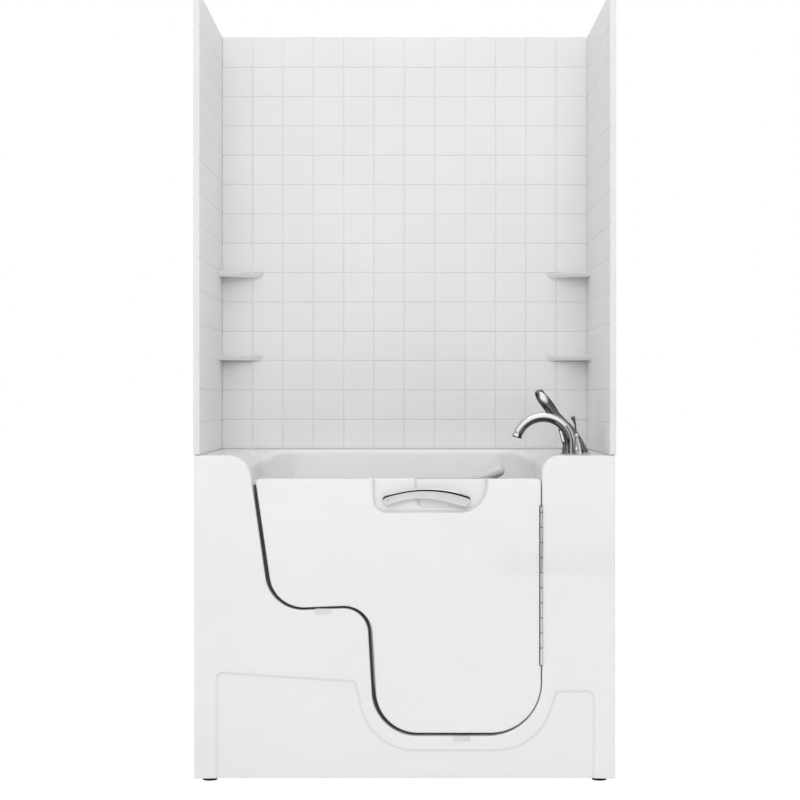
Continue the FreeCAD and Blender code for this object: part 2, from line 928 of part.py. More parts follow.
def make_pads():
    for name, (x, top) in pad_places().items():
        body = doc.addObject("PartDesign::Body", name)
        profile = pad_profile(top, "pad_round")
        pad(body, outline(body, "YZ_Plane", f"{x} - pad_width / 2", profile), "pad_width")
        if name == "latch_keeper":
            pocket(body, outline(body, "XY_Plane", top, bolt_hole()), "pad_thick")
        node(name, body)


# Door skins, core and seal
def make_door():
    line = round_ends(door_edge("door_top"), "door_top_radius", "door_top_radius")
    outer = doc.addObject("PartDesign::Body", "door_outer_panel")
    pad(outer, outline(outer, "XZ_Plane", f"-({front})", line), "door_skin_depth", True)
    face = amount_of(front)
    round_edges(outer, "door_edge_round", lambda edge: near(edge.BoundBox.YMax, face))
    core_top = "(recess_bottom - door_wall)"
    hollow = door_edge(core_top, "door_wall")
    pocket(outer, outline(outer, "XZ_Plane", f"-({door_split})", hollow), "door_skin_depth - door_wall", True)
    above_door = "door_top + door_edge_round"
    recess = [
        ("recess_left", above_door),
        ("recess_left", "recess_bottom", "recess_left_radius"),
        ("recess_right", "recess_bottom", "recess_right_radius"),
        ("recess_right", above_door),
    ]
    pocket(outer, outline(outer, "XZ_Plane", f"-({front})", recess), "recess_depth")
    scoop = [
        ("scoop_left", above_door),
        ("scoop_left", "scoop_bottom", "scoop_radius"),
        ("scoop_right", "scoop_bottom", "scoop_radius"),
        ("scoop_right", above_door),
    ]
    pocket(outer, outline(outer, "XZ_Plane", f"-({front})", scoop), "scoop_depth")
    posts = [(x, "pull_height") for x in pull_ends()]
    recess_floor, skin_left = f"-({front} + recess_depth)", "door_skin_depth - recess_depth"
    drill(outer, "XZ_Plane", recess_floor, posts, "pull_screw_radius + screw_fit", skin_left)
    head_depth = "pull_head_height + screw_fit"
    drill(outer, "XZ_Plane", f"-({door_split})", posts, "pull_head_radius + screw_fit", head_depth, True)
    screws = [(leaf_screw_y, height) for height in leaf_screw_heights()]
    screw_depth = "leaf_screw_length + screw_fit"
    drill(outer, "YZ_Plane", "hinge_x - gap_hinge / 2", screws, "leaf_screw_radius + screw_fit", screw_depth)
    node("door_outer_panel", outer)

    core = doc.addObject("PartDesign::Body", "door_core")
    filling = door_edge(f"{core_top} - core_fit", "door_wall + core_fit")
    core_front = f"({front} + door_wall + core_fit)"
    core_depth = f"{door_split} - core_fit - {core_front}"
    pad(core, outline(core, "XZ_Plane", f"-{core_front}", filling), core_depth, True)
    node("door_core", core)

    inner = doc.addObject("PartDesign::Body", "door_inner_panel")
    inner_top = "(door_top - inner_inset)"
    inner_line = round_ends(door_edge(inner_top, "inner_inset"), "door_top_radius", "door_top_radius")
    inner_depth = "door_depth - door_skin_depth"
    pad(inner, outline(inner, "XZ_Plane", f"-({door_split})", inner_line), inner_depth, True)
    works_depth = "latch_setback + rack_depth + rack_fit"
    hub = [("latch_x", "latch_height")]
    drill(inner, "XZ_Plane", f"-({door_split})", hub, gear_room_radius, works_depth)
    rod_room = rectangle((f"{rack_pitch_x} - tooth_root - rack_fit", "sill_height"),
                         (f"{rack_back_x} + rack_width + rack_fit", "rack_top + rack_fit"))
    pocket(inner, outline(inner, "XZ_Plane", f"-({door_split})", rod_room), works_depth)
    drill(inner, "XZ_Plane", f"-({door_split})", hub, "spindle_radius + spindle_fit", inner_depth)
    node("door_inner_panel", inner)

    seal = doc.addObject("PartDesign::Body", "door_seal")
    seal_top = "(door_top - seal_inset)"
    band = door_edge(seal_top, "seal_inset")
    thickness = "seal_depth - seal_clearance"
    pad(seal, outline(seal, "XZ_Plane", f"-({door_back})", band), thickness, True)
    inside = door_edge("door_top", "seal_inset + seal_width")
    pocket(seal, outline(seal, "XZ_Plane", f"-({door_back})", inside), thickness)
    node("door_seal", seal)


def pull_ends():
    return "(pull_centre_x - pull_span / 2)", "(pull_centre_x + pull_span / 2)"


# Arched pull handle on two posts
def make_pull_handle():
    bow = "((pull_span ^ 2 / 4 + pull_rise ^ 2) / (2 * pull_rise))"
    bar_y = f"({front} + pull_setback)"
    bar = doc.addObject("PartDesign::Body", "pull_bar")
    ring = disc(bar, "YZ_Plane", "pull_centre_x", (bar_y, "pull_height + pull_rise"), "pull_radius")
    bow_centre = (bar_y, f"pull_height + pull_rise - {bow}")
    sweep = revolve(bar, ring, bow_centre, "Horizontal", f"2 * asin(pull_span / 2 / {bow})")
    sweep.Midplane = True
    pieces, screws, holes = [bar], [], []
    tip = f"({front} + recess_depth - pull_screw_bite)"
    head = f"({door_split} - pull_head_height)"
    fit = "pull_screw_radius + screw_fit"
    for x in pull_ends():
        pieces.append(ball("pull_end", "pull_end_radius", (x, bar_y, "pull_height")))
        post_at = (x, bar_y, "pull_height")
        pieces.append(rod("pull_post", "pull_post_radius", "recess_depth - pull_setback", post_at, along_y))
        shank = rod("pull_shank", "pull_screw_radius", f"{head} - {tip}", (x, tip, "pull_height"), along_y)
        cap = rod("pull_head", "pull_head_radius", "pull_head_height", (x, head, "pull_height"), along_y)
        screws.append(join("pull_screw", shank, cap))
        hole_at = (x, f"{tip} - screw_fit", "pull_height")
        holes.append(rod("pull_hole", fit, "pull_screw_bite + screw_fit", hole_at, along_y))
    node("door_handle", cut("pull_handle", join("pull_solid", *pieces), *holes))
    node("handle_screws", group("pull_screws", screws))


# Continuous hinge: leaves, pin and countersunk screws
def leaf_screw_heights():
    span = "(leaf_screw_count - 1) * leaf_screw_pitch"
    for index in range(int(amount_of("leaf_screw_count"))):
        yield f"leaf_bottom + leaf_length / 2 - {span} / 2 + {index} * leaf_screw_pitch"


def knuckle_ranges():
    count = int(amount_of("knuckle_count"))
    top = "(leaf_bottom + leaf_length)"
    for index in range(count):
        high = top if index == 0 else f"({top} - knuckle_first - {index - 1} * knuckle_pitch)"
        low = "leaf_bottom" if index == count - 1 else f"({top} - knuckle_first - {index} * knuckle_pitch)"
        yield f"({low} + knuckle_gap / 2)", f"({high} - knuckle_gap / 2)"


def make_hinge_leaf(label, remainder, low_x, high_x, head_x, turn):
    plate_start = f"({hinge_axis_y} + barrel_radius + leaf_relief)"
    plate_end = f"({front} + leaf_width)"
    plate_top = "leaf_bottom + leaf_length"
    pieces = [block(f"{label}_plate", (low_x, plate_start, "leaf_bottom"), (high_x, plate_end, plate_top))]
    for index, (low, high) in enumerate(knuckle_ranges()):
        if index % 2 != remainder:
            continue
        knuckle_at = ("hinge_x", hinge_axis_y, low)
        pieces.append(rod(f"{label}_knuckle", "barrel_radius", f"{high} - {low}", knuckle_at))
        pieces.append(block(f"{label}_tab", (low_x, hinge_axis_y, low), (high_x, plate_start, high)))
    bore_at = ("hinge_x", hinge_axis_y, "leaf_bottom")
    tools = [rod(f"{label}_bore", "hinge_pin_radius + pin_fit", "leaf_length", bore_at)]
    screws = []
    core, fit = "leaf_screw_radius", "leaf_screw_radius + screw_fit"
    for height in leaf_screw_heights():
        spot = (head_x, leaf_screw_y, height)
        tools.append(cone(f"{label}_sink", f"{fit} + leaf_thick", fit, "leaf_thick", spot, turn))
        head = cone(f"{label}_head", f"{core} + leaf_thick", core, "leaf_thick", spot, turn)
        shank = rod(f"{label}_shank", core, "leaf_screw_length + leaf_thick", spot, turn)
        screws.append(join(f"{label}_screw", head, shank))
    node(label, cut(f"{label}_plate_cut", join(f"{label}_blank", *pieces), *tools))
    node(label.replace("leaf", "screws"), group(f"{label}_screw_row", screws))


def make_hinge():
    tub_face = "(hinge_x + gap_hinge / 2)"
    door_face = "(hinge_x - gap_hinge / 2)"
    tub_inner = f"({tub_face} - leaf_thick)"
    door_inner = f"({door_face} + leaf_thick)"
    make_hinge_leaf("hinge_leaf_tub", 0, tub_inner, tub_face, tub_inner, along_x)
    make_hinge_leaf("hinge_leaf_door", 1, door_face, door_inner, door_inner, against_x)
    pin_at = ("hinge_x", hinge_axis_y, "leaf_bottom")
    node("hinge_pin", rod("hinge_rod", "hinge_pin_radius", "leaf_length", pin_at))


# Latch: inside lever, spindle, pinion, and a racked rod that drops into the sill
def make_latch():
    rose_at = ("latch_x", door_back, "latch_height")
    running_hole = "spindle_radius + spindle_fit"
    node("latch_rose", tube("latch_rose_ring", "rose_radius", running_hole, "rose_depth", rose_at, along_y))
    hub_front = f"({door_back} + rose_depth + spindle_fit)"
    hub_at = ("latch_x", hub_front, "latch_height")
    grip_y = f"({hub_front} + grip_radius)"
    hub = rod("latch_hub", "lever_hub_radius", "2 * grip_radius", hub_at, along_y)
    lever_turn = Rotation(Vector(0, 1, 0), 90 - amount_of("lever_angle"))
    centre = ("latch_x", grip_y, "latch_height")
    neck = rod("latch_neck", "lever_neck_radius", "lever_length", centre, lever_turn)
    start_x = "latch_x + lever_neck_length * cos(lever_angle)"
    start_z = "latch_height + lever_neck_length * sin(lever_angle)"
    grip_length = "lever_length - lever_neck_length"
    grip = rod("latch_grip", "grip_radius", grip_length, (start_x, grip_y, start_z), lever_turn)
    for item in (neck, grip):
        bind(item, "Placement.Rotation.Angle", "90 - lever_angle")
    end_x = "latch_x + lever_length * cos(lever_angle)"
    end_z = "latch_height + lever_length * sin(lever_angle)"
    end = ball("latch_grip_end", "grip_radius", (end_x, grip_y, end_z))
    bore = rod("latch_hub_bore", running_hole, "grip_radius", hub_at, along_y)
    node("latch_lever", cut("latch_lever_solid", join("latch_lever_blank", hub, neck, grip, end), bore))
    spindle_length = f"{hub_front} + grip_radius - {rack_front_y}"
    spindle_at = ("latch_x", rack_front_y, "latch_height")
    node("latch_spindle", rod("latch_shaft", "spindle_radius", spindle_length, spindle_at, along_y))

    pinion = doc.addObject("PartDesign::Body", "latch_pinion")
    wheel = disc(pinion, "XZ_Plane", "0", ("0", "0"), "pinion_pitch_radius - tooth_root")
    pad(pinion, wheel, "pinion_thick", True)
    slope = "tan(tooth_flank)"
    half = f"({tooth_pitch} / 4 - tooth_fit)"
    tip_x, root_x = "pinion_pitch_radius + tooth_tip", "pinion_pitch_radius - tooth_root - tooth_fit"
    tip_half, root_half = f"({half} - tooth_tip * {slope})", f"({half} + tooth_root * {slope})"
    tooth = [(root_x, f"-{root_half}"), (tip_x, f"-{tip_half}"), (tip_x, tip_half), (root_x, root_half)]
    first = pad(pinion, outline(pinion, "XZ_Plane", "0", tooth), "pinion_thick", True)
    ring_copies(pinion, first, "Y_Axis", "pinion_teeth")
    drill(pinion, "XZ_Plane", "0", [("0", "0")], running_hole, "pinion_thick")
    node("latch_pinion", place(pinion, spindle_at))

    bolt = doc.addObject("PartDesign::Body", "latch_rod")
    bar = rectangle((rack_back_x, rod_bottom), (f"{rack_back_x} + rack_width", "rack_top"))
    pad(bolt, outline(bolt, "XZ_Plane", f"-({rack_front_y})", bar), "rack_depth", True)
    low = f"(latch_height - {tooth_pitch} * rack_teeth_below)"
    rack_tip, rack_root = f"{rack_pitch_x} - tooth_tip", f"{rack_back_x} + tooth_fit"
    tooth = [
        (rack_tip, f"{low} - {tip_half}"),
        (rack_root, f"{low} - {root_half}"),
        (rack_root, f"{low} + {root_half}"),
        (rack_tip, f"{low} + {tip_half}"),
    ]
    first = pad(bolt, outline(bolt, "XZ_Plane", f"-({rack_front_y})", tooth), "rack_depth", True)
    copies(bolt, first, "Z_Axis", f"{tooth_pitch} * (rack_teeth - 1)", "rack_teeth")
    node("latch_rod", bolt)


# Welded tube frame, feet and skirt brackets
def square_tube(name, low, high, run):
    inset = ["tube_wall"] * 3
    inset[run] = "0"
    bore_low = [f"{value} + {gap}" for value, gap in zip(low, inset)]
    bore_high = [f"{value} - {gap}" for value, gap in zip(high, inset)]
    return block(name, low, high), block(f"{name}_bore", bore_low, bore_high)


inner_crosses = ["seat_post_outer", "seat_post_inner", "well_post_inner", "well_post_outer"]


def frame_rows():
    return f"({apron_back} + rail_inset)", f"({back} - rail_inset)"


def make_frame():
    solids, bores = [], []

    def add(name, low, high, run):
        solid, bore = square_tube(name, low, high, run)
        solids.append(solid)
        bores.append(bore)

    half_tube, half_post = "tube_size / 2", "post_size / 2"
    rail_end = f"(frame_end_x + {half_tube})"
    front_row, back_row = frame_rows()
    for y in (front_row, back_row):
        low = (f"-{rail_end}", f"{y} - {half_tube}", "frame_base")
        add("frame_rail", low, (rail_end, f"{y} + {half_tube}", frame_top), 0)
    crosses = ["-frame_end_x", *inner_crosses, "frame_end_x"]
    for x in crosses:
        low = (f"{x} - {half_tube}", front_row, "frame_base")
        add("frame_cross", low, (f"{x} + {half_tube}", back_row, frame_top), 1)
    posts = [(x, y, deck_under) for x in (crosses[0], crosses[-1]) for y in (front_row, back_row)]
    rows = [f"{basin_middle} - post_spread", f"{basin_middle} + post_spread"]
    posts += [(x, y, seat_under) for x in crosses[1:3] for y in rows]
    posts += [(x, y, floor_under) for x in crosses[3:5] for y in rows]
    for x, y, top in posts:
        low = (f"{x} - {half_post}", f"{y} - {half_post}", f"{frame_top} - tube_wall")
        add("frame_post", low, (f"{x} + {half_post}", f"{y} + {half_post}", top), 2)
    stud_holes = []
    feet, nuts = [], []
    for x in ("-frame_end_x", "frame_end_x"):
        for y in (front_row, back_row):
            hole_at = (x, y, "frame_base - tube_wall / 2")
            stud_holes.append(rod("frame_stud_hole", "stud_radius + screw_fit", "tube_wall * 2", hole_at))
            foot = cone("foot_pad", "foot_radius", "foot_radius - foot_taper", "foot_height", (x, y, "0"))
            stud_length = "frame_base + stud_reach - foot_height"
            stud = rod("foot_stud", "stud_radius", stud_length, (x, y, "foot_height"))
            feet.append(join("foot", foot, stud))
            nuts.append(hex_nut((x, y, "frame_base - nut_height")))
    node("base_frame", cut("frame_welded", join("frame_solid", *solids), *bores, *stud_holes))
    node("leveling_feet", group("foot_set", feet))
    node("foot_locknuts", group("nut_set", nuts))


def hex_nut(at):
    nut = doc.addObject("Part::Prism", "nut_blank")
    nut.Polygon = 6
    bind(nut, "Circumradius", "nut_radius")
    bind(nut, "Height", "nut_height")
    return cut("nut", place(nut, at), rod("nut_bore", "stud_radius + screw_fit", "nut_height", at))


def make_brackets():
    front_row, back_row = frame_rows()
    rail_face = f"({front_row} - tube_size / 2)"
    low = f"({frame_top} - bracket_size)"
    brackets = []
    for x in inner_crosses:
        start, end = f"({x} - bracket_size / 2)", f"({x} + bracket_size / 2)"
        skirt_end = (end, f"{apron_back} + bracket_thick", frame_top)
        skirt_plate = block("bracket_skirt", (start, apron_back, low), skirt_end)
        rail_start = (start, f"{rail_face} - bracket_thick", low)
        rail_plate = block("bracket_rail", rail_start, (end, rail_face, frame_top))
        web_end = (f"{start} + bracket_thick", rail_face, frame_top)
        web = block("bracket_web", (start, apron_back, low), web_end)
        brackets.append(join("bracket", skirt_plate, rail_plate, web))
    node("apron_brackets", group("bracket_set", brackets))


# Tiled wall panels, bedding and corner shelves
panel_top = f"({panel_base} + panel_height)"


# Blocks that cut the grout lines into one face, between two corners of that face
def grout_lines(low, high, run, first, step, count):
    lines = []
    for index in range(count):
        middle_line = f"({first} + {index} * {step})"
        start, end = list(low), list(high)
        start[run] = f"{middle_line} - grout_width / 2"
        end[run] = f"{middle_line} + grout_width / 2"
        lines.append(block("grout_line", start, end))
    return lines


def make_surround():
    columns = int(amount_of("tile_columns"))
    rows = int(amount_of("tile_rows"))
    side_columns = int(amount_of("side_columns"))
    first_row = f"{panel_base} + tile_height"

    slab = block("back_slab", (f"-{panel_inner}", panel_face, panel_base), (panel_inner, back, panel_top))
    low = (f"-{panel_inner}", panel_face, panel_base)
    high = (panel_inner, f"{panel_face} + grout_depth", panel_top)
    first_column = "-(tile_columns / 2 - 1) * tile_width"
    grooves = grout_lines(low, high, 0, first_column, "tile_width", columns - 1)
    grooves += grout_lines(low, high, 2, first_row, "tile_height", rows - 1)
    node("surround_back_panel", cut("back_tiles", slab, *grooves))

    sides = {
        "left": (f"-{panel_outer}", f"-{panel_inner}", f"-{panel_inner} - grout_depth", f"-{panel_inner}"),
        "right": (panel_inner, panel_outer, panel_inner, f"{panel_inner} + grout_depth"),
    }
    for side, (start, end, groove_start, groove_end) in sides.items():
        slab = block(f"{side}_slab", (start, front, panel_base), (end, back, panel_top))
        low, high = (groove_start, front, panel_base), (groove_end, panel_face, panel_top)
        first_column = f"{panel_face} - side_columns * tile_width"
        grooves = grout_lines(low, high, 1, first_column, "tile_width", side_columns)
        grooves += grout_lines(low, high, 2, first_row, "tile_height", rows - 1)
        node(f"surround_{side}_panel", cut(f"{side}_tiles", slab, *grooves))

    bed_side = f"({panel_inner} + bed_inset)"
    bed_front = f"({panel_face} + bed_inset)"
    runs = [
        block("bed_left", (f"-{half_width}", apron_back, "deck_height"), (f"-{bed_side}", back, panel_base)),
        block("bed_right", (bed_side, apron_back, "deck_height"), (half_width, back, panel_base)),
        block("bed_back", (f"-{bed_side}", bed_front, "deck_height"), (bed_side, back, panel_base)),
    ]
    node("sealant_bed", join("bed", *runs))


def make_shelves():
    for level in ("low", "high"):
        for side, sign in (("left", "-"), ("right", "")):
            name = f"shelf_{side}_{level}"
            body = doc.addObject("PartDesign::Body", name)
            inward = "+" if sign else "-"
            wall = f"{sign}{panel_inner}"
            top = f"{panel_base} + shelf_{level}_rise"
            corner, along_wall = (wall, panel_face), (wall, f"{panel_face} - shelf_depth")
            along_back = (f"{wall} {inward} shelf_width", panel_face)
            points = [corner, along_wall, along_back] if sign else [corner, along_back, along_wall]
            pad(body, outline(body, "XY_Plane", f"{top} - shelf_thick", points), "shelf_thick")
            base = amount_of(f"{top} - shelf_thick")
            wall_x, wall_y = amount_of(wall), amount_of(panel_face)
            soften(body, "Chamfer", "Size", "shelf_cove", lambda edge: near(edge.BoundBox.ZMax, base)
                   and not near(middle(edge).x, wall_x) and not near(middle(edge).y, wall_y))
            node(name, body)


# Deck taps
def make_spout():
    x, y = tap_places()["spout"]
    arc = doc.addObject("PartDesign::Body", "spout_arc")
    centre_x, spring = f"({x} - spout_radius)", "(deck_height + spout_rise)"
    sketch = disc(arc, "XY_Plane", spring, (x, y), "spout_tube")
    revolve(arc, sketch, (centre_x, y), "Vertical", "spout_sweep").Reversed = True
    bore = doc.addObject("PartDesign::Body", "spout_bore_arc")
    sketch = disc(bore, "XY_Plane", spring, (x, y), "spout_bore")
    revolve(bore, sketch, (centre_x, y), "Vertical", "spout_sweep").Reversed = True
    base = (x, y, "deck_height - shank_length")
    length = "shank_length + spout_rise"
    stem = rod("spout_stem", "spout_tube", length, base)
    stem_bore = rod("spout_stem_bore", "spout_bore", length, base)
    node("spout", cut("spout_tube_bent", join("spout_solid", arc, stem), bore, stem_bore))
    tip_x = f"{centre_x} + spout_radius * cos(spout_sweep)"
    tip_z = f"{spring} + spout_radius * sin(spout_sweep)"
    turn = Rotation(Vector(0, 1, 0), -amount_of("spout_sweep"))
    rim = rod("aerator_rim", "aerator_radius", "aerator_length", (tip_x, y, tip_z), turn)
    mesh = rod("aerator_bore", "aerator_radius - aerator_wall", "aerator_length", (tip_x, y, tip_z), turn)
    for item in (rim, mesh):
        bind(item, "Placement.Rotation.Angle", "-spout_sweep")
    node("spout_aerator", cut("aerator", rim, mesh))


stem_hole = "(stem_radius + stem_fit)"


def make_valves():
    valves = []
    spout_at = (*tap_places()["spout"], "deck_height")
    spout_hole = "spout_tube + shank_fit"
    roses = [tube("spout_rose", "spout_flange_radius", spout_hole, "spout_flange_height", spout_at)]
    for name in ("hot", "cold", "diverter"):
        x, y = tap_places()[name]
        shank = rod(f"{name}_shank", "shank_radius", "shank_length", (x, y, "deck_height - shank_length"))
        stem = rod(f"{name}_stem", "stem_radius", "stem_length", (x, y, "deck_height"))
        pieces = [shank, stem]
        if name != "diverter":
            inlet_at = (x, y, "deck_height - shank_length - inlet_length")
            pieces.append(rod(f"{name}_inlet", "inlet_radius", "inlet_length", inlet_at))
        valves.append(join(f"{name}_valve", *pieces))
        rose_at = (x, y, "deck_height")
        roses.append(tube(f"{name}_rose", "rose_plate_radius", stem_hole, "rose_plate_height", rose_at))
        make_tap_handle(name, x, y)
    node("valve_bodies", group("valve_set", valves))
    node("tap_roses", group("rose_set", roses))
    make_mixer_pipes(valves)


def make_tap_handle(name, x, y):
    base = "(deck_height + rose_plate_height + handle_gap)"
    bell = cone(f"{name}_bell", "bell_base_radius", "bell_top_radius", "bell_height", (x, y, base))
    kind = "diverter" if name == "diverter" else "lever"
    rise, lean, bend, tip = (f"{kind}_{part}" for part in ("rise", "lean", "bend", "tip_radius"))
    blade = doc.addObject("PartDesign::Body", f"{name}_blade")
    foot = f"({base} + bell_height / 2)"
    waist = f"(({foot} + deck_height + {rise}) / 2)"
    sections = [
        (x, foot, "bell_top_radius"),
        (f"{x} - {bend}", waist, "lever_waist_radius"),
        (f"{x} - {lean}", f"deck_height + {rise}", tip),
    ]
    loft(blade, [(centre, y, height, radius) for centre, height, radius in sections])
    bore_length = f"deck_height + stem_length + handle_gap - {base}"
    bore = rod(f"{name}_handle_bore", stem_hole, bore_length, (x, y, base))
    node(f"{name}_handle", cut(f"{name}_lever", join(f"{name}_lever_blank", bell, blade), bore))


def make_mixer_pipes(valves):
    places = tap_places()
    drop = "(deck_height - pipe_drop)"
    runs = []
    for start, end in (("hot", "cold"), ("cold", "diverter"), ("diverter", "shower"), ("hot", "spout")):
        (x, y), (end_x, end_y) = places[start], places[end]
        run_x, run_y = f"({end_x} - {x})", f"({end_y} - ({y}))"
        pipe = rod("mixer_run", "pipe_radius", f"sqrt({run_x} ^ 2 + {run_y} ^ 2)", (x, y, drop))
        direction = Vector(amount_of(run_x), amount_of(run_y), 0)
        pipe.Placement = Placement(pipe.Placement.Base, Rotation(Vector(0, 0, 1), direction))
        place(pipe, (x, y, drop))
        runs.append(pipe)
    shower_x, shower_y = places["shower"]
    union_base = "deck_height - holder_sleeve_length - union_length"
    union = rod("shower_union", "shank_radius - shank_fit", "union_length", (shower_x, shower_y, union_base))
    spout_x, spout_y = places["spout"]
    room_at = (spout_x, spout_y, "deck_height - shank_length")
    stem_room = rod("spout_room", "spout_tube", "shank_length", room_at)
    solid = join("mixer_solid", *runs, union)
    node("mixer_pipes", cut("mixer_set", solid, *valves, stem_room))


def make_hand_shower():
    x, y = tap_places()["shower"]
    seat = "(deck_height + holder_height)"
    wand = doc.addObject("PartDesign::Body", "shower_wand")
    # Each section: its share of the lean, its share of the rise, its radius
    sections = [
        ("0", "0", "shower_base_radius"),
        ("0.14", "0.16", "shower_neck_radius"),
        ("0.30", "0.34", "shower_grip_radius"),
        ("0.49", "0.50", "shower_throat_radius"),
        ("0.75", "0.68", "shower_head_radius"),
        ("0.95", "0.90", "shower_brow_radius"),
        ("1", "1", "shower_tip_radius"),
    ]
    loft(wand, [(f"{x} - {lean} * shower_lean", y, f"{seat} + {rise} * shower_rise", radius)
                for lean, rise, radius in sections])
    spigot_at = (x, y, f"{seat} - shower_spigot_length")
    spigot = rod("shower_spigot", "shower_spigot_radius", "shower_spigot_length", spigot_at)
    node("hand_shower", join("shower_solid", wand, spigot))
    rose = rod("holder_rose", "holder_radius", "holder_height", (x, y, "deck_height"))
    sleeve_at = (x, y, "deck_height - holder_sleeve_length")
    sleeve = rod("holder_sleeve", "shank_radius", "holder_sleeve_length", sleeve_at)
    bore_length = "holder_sleeve_length + holder_height"
    bore = rod("holder_bore", "shower_spigot_radius + stem_fit", bore_length, sleeve_at)
    node("hand_shower_holder", cut("holder", join("holder_solid", rose, sleeve), bore))


# Drain, stopper and overflow
def over_drain(height):
    return "drain_x", basin_middle, height


def make_drain():
    way_radius = "(drain_throat_radius - drain_throat_wall)"
    throat_base = "(floor_height - drain_throat_length)"
    plate = rod("drain_plate", "drain_flange_radius", "drain_flange_height", over_drain("floor_height"))
    throat = rod("drain_throat", "drain_throat_radius", "drain_throat_length", over_drain(throat_base))
    way_length = "drain_throat_length + drain_flange_height"
    way = rod("drain_way", way_radius, way_length, over_drain(throat_base))
    sleeve = cut("drain_sleeve", join("drain_solid", plate, throat), way)
    guide_low = "(floor_height - stopper_guide_drop)"
    guide_high = f"{guide_low} + stopper_guide_height"
    reach, half = f"({way_radius} + drain_throat_wall / 2)", "(stopper_guide_thick / 2)"
    bars = []
    for reach_x, reach_y in ((reach, half), (half, reach)):
        low = (f"drain_x - {reach_x}", f"{basin_middle} - {reach_y}", guide_low)
        high = (f"drain_x + {reach_x}", f"{basin_middle} + {reach_y}", guide_high)
        bars.append(block("guide_bar", low, high))
    hub = rod("guide_hub", "stopper_guide_radius", "stopper_guide_height", over_drain(guide_low))
    hole = rod("guide_hole", "stopper_stem_radius + stem_fit", "stopper_guide_height", over_drain(guide_low))
    node("drain_flange", cut("drain_fitting", join("drain_blank", sleeve, *bars, hub), hole))
    rest = "(floor_height + drain_flange_height + stopper_gap)"
    rim = "stopper_radius - stopper_height"
    cap = cone("stopper_cap", "stopper_radius", rim, "stopper_height", over_drain(rest))
    stem_at = over_drain(f"{rest} - stopper_stem_length")
    stem = rod("stopper_stem", "stopper_stem_radius", "stopper_stem_length", stem_at)
    node("drain_stopper", join("stopper", cap, stem))


def make_waste_pipe():
    outer_wall = "(basin_right + shell_wall)"
    cup_low = "(waste_height - waste_radius)"
    runs = []
    for shrink in ("0", "waste_wall"):
        branch = f"waste_branch_radius - {shrink}"
        over = rod("waste_over", branch, "overflow_x - drain_x", over_drain("waste_height"), along_x)
        elbow_at = (outer_wall, basin_middle, "overflow_height")
        elbow = rod("waste_elbow", branch, f"overflow_x - {outer_wall}", elbow_at, along_x)
        radius = f"waste_radius - {shrink}"
        riser_height = f"overflow_height + {radius} - {cup_low}"
        riser = rod("waste_riser", radius, riser_height, ("overflow_x", basin_middle, cup_low))
        tail_at = ("overflow_x", basin_middle, "tail_bottom")
        tail = rod("waste_tail", f"tail_radius - {shrink}", "waste_height - tail_bottom", tail_at)
        runs.append([over, riser, elbow, tail])
    socket = "drain_throat_radius + drain_fit"
    cup_height = f"({floor_under} - {cup_low})"
    cup = rod("waste_cup", f"{socket} + waste_wall", cup_height, over_drain(cup_low))
    room_at = over_drain(f"{cup_low} + waste_wall")
    cup_room = rod("waste_cup_room", socket, f"{cup_height} - waste_wall", room_at)
    solid = join("waste_blank", *runs[0], cup)
    node("waste_pipe", cut("waste_run", solid, *runs[1], cup_room))


def make_overflow():
    plate_x = "(basin_right - overflow_plate_depth)"
    plate_at = (plate_x, basin_middle, "overflow_height")
    hub_hole = "overflow_hub_radius + stem_fit"
    ring = tube("overflow_ring", "overflow_plate_radius", hub_hole, "overflow_plate_depth", plate_at, along_x)
    node("overflow_plate", ring)
    knob_x = f"({plate_x} - handle_gap - overflow_knob_depth)"
    knob_at = (knob_x, basin_middle, "overflow_height")
    knob = rod("overflow_cap", "overflow_knob_radius", "overflow_knob_depth", knob_at, along_x)
    shaft_length = f"basin_right + shell_wall - {knob_x}"
    shaft = rod("overflow_shaft", "overflow_hub_radius", shaft_length, knob_at, along_x)
    grips = []
    count = int(amount_of("overflow_grip_count"))
    for index in range(count):
        angle = f"({index} * 360 / overflow_grip_count)"
        groove_at = (
            knob_x,
            f"{basin_middle} + overflow_knob_radius * cos({angle})",
            f"overflow_height + overflow_knob_radius * sin({angle})",
        )
        groove = rod("overflow_groove", "overflow_grip_radius", "overflow_grip_length", groove_at, along_x)
        grips.append(groove)
    node("overflow_knob", cut("overflow_turn", join("overflow_knob_blank", knob, shaft), *grips))


# Air system
air_bore = "(air_pipe_radius - air_pipe_wall)"
valve_x = "(blower_x + blower_radius + blower_wall)"
seat_channel_base = f"({seat_under} - seat_channel_height)"


def make_air_jets():
    jets = []
    for zone in jet_zones:
        for x, y in jet_places(zone):
            top = f"{zone}_height"
            foot = f"{top} - jet_stem_length"
            rim = "jet_cap_radius - jet_cap_height"
            cap = cone("jet_cap", "jet_cap_radius", rim, "jet_cap_height", (x, y, top))
            stem = rod("jet_stem", "jet_stem_radius", "jet_stem_length", (x, y, foot))
            bore = rod("jet_hole", "jet_bore", "jet_stem_length + jet_cap_height", (x, y, foot))
            jets.append(cut("jet", join("jet_solid", cap, stem), bore))
    node("air_jets", group("jet_set", jets))


# Open-topped troughs bonded under the moulding, each given by its low and high corner in plan
def troughs(name, plans, base, top, inlet):
    solids, rooms = [], []
    for low, high in plans:
        solids.append(block(f"{name}_trough", (*low, base), (*high, top)))
        room_low = [f"{value} + channel_wall" for value in low]
        room_high = [f"{value} - channel_wall" for value in high]
        rooms.append(block(f"{name}_room", (*room_low, f"{base} + channel_wall"), (*room_high, top)))
    solid = solids[0] if len(solids) == 1 else join(f"{name}_solid", *solids)
    return cut(name, solid, *rooms, inlet)


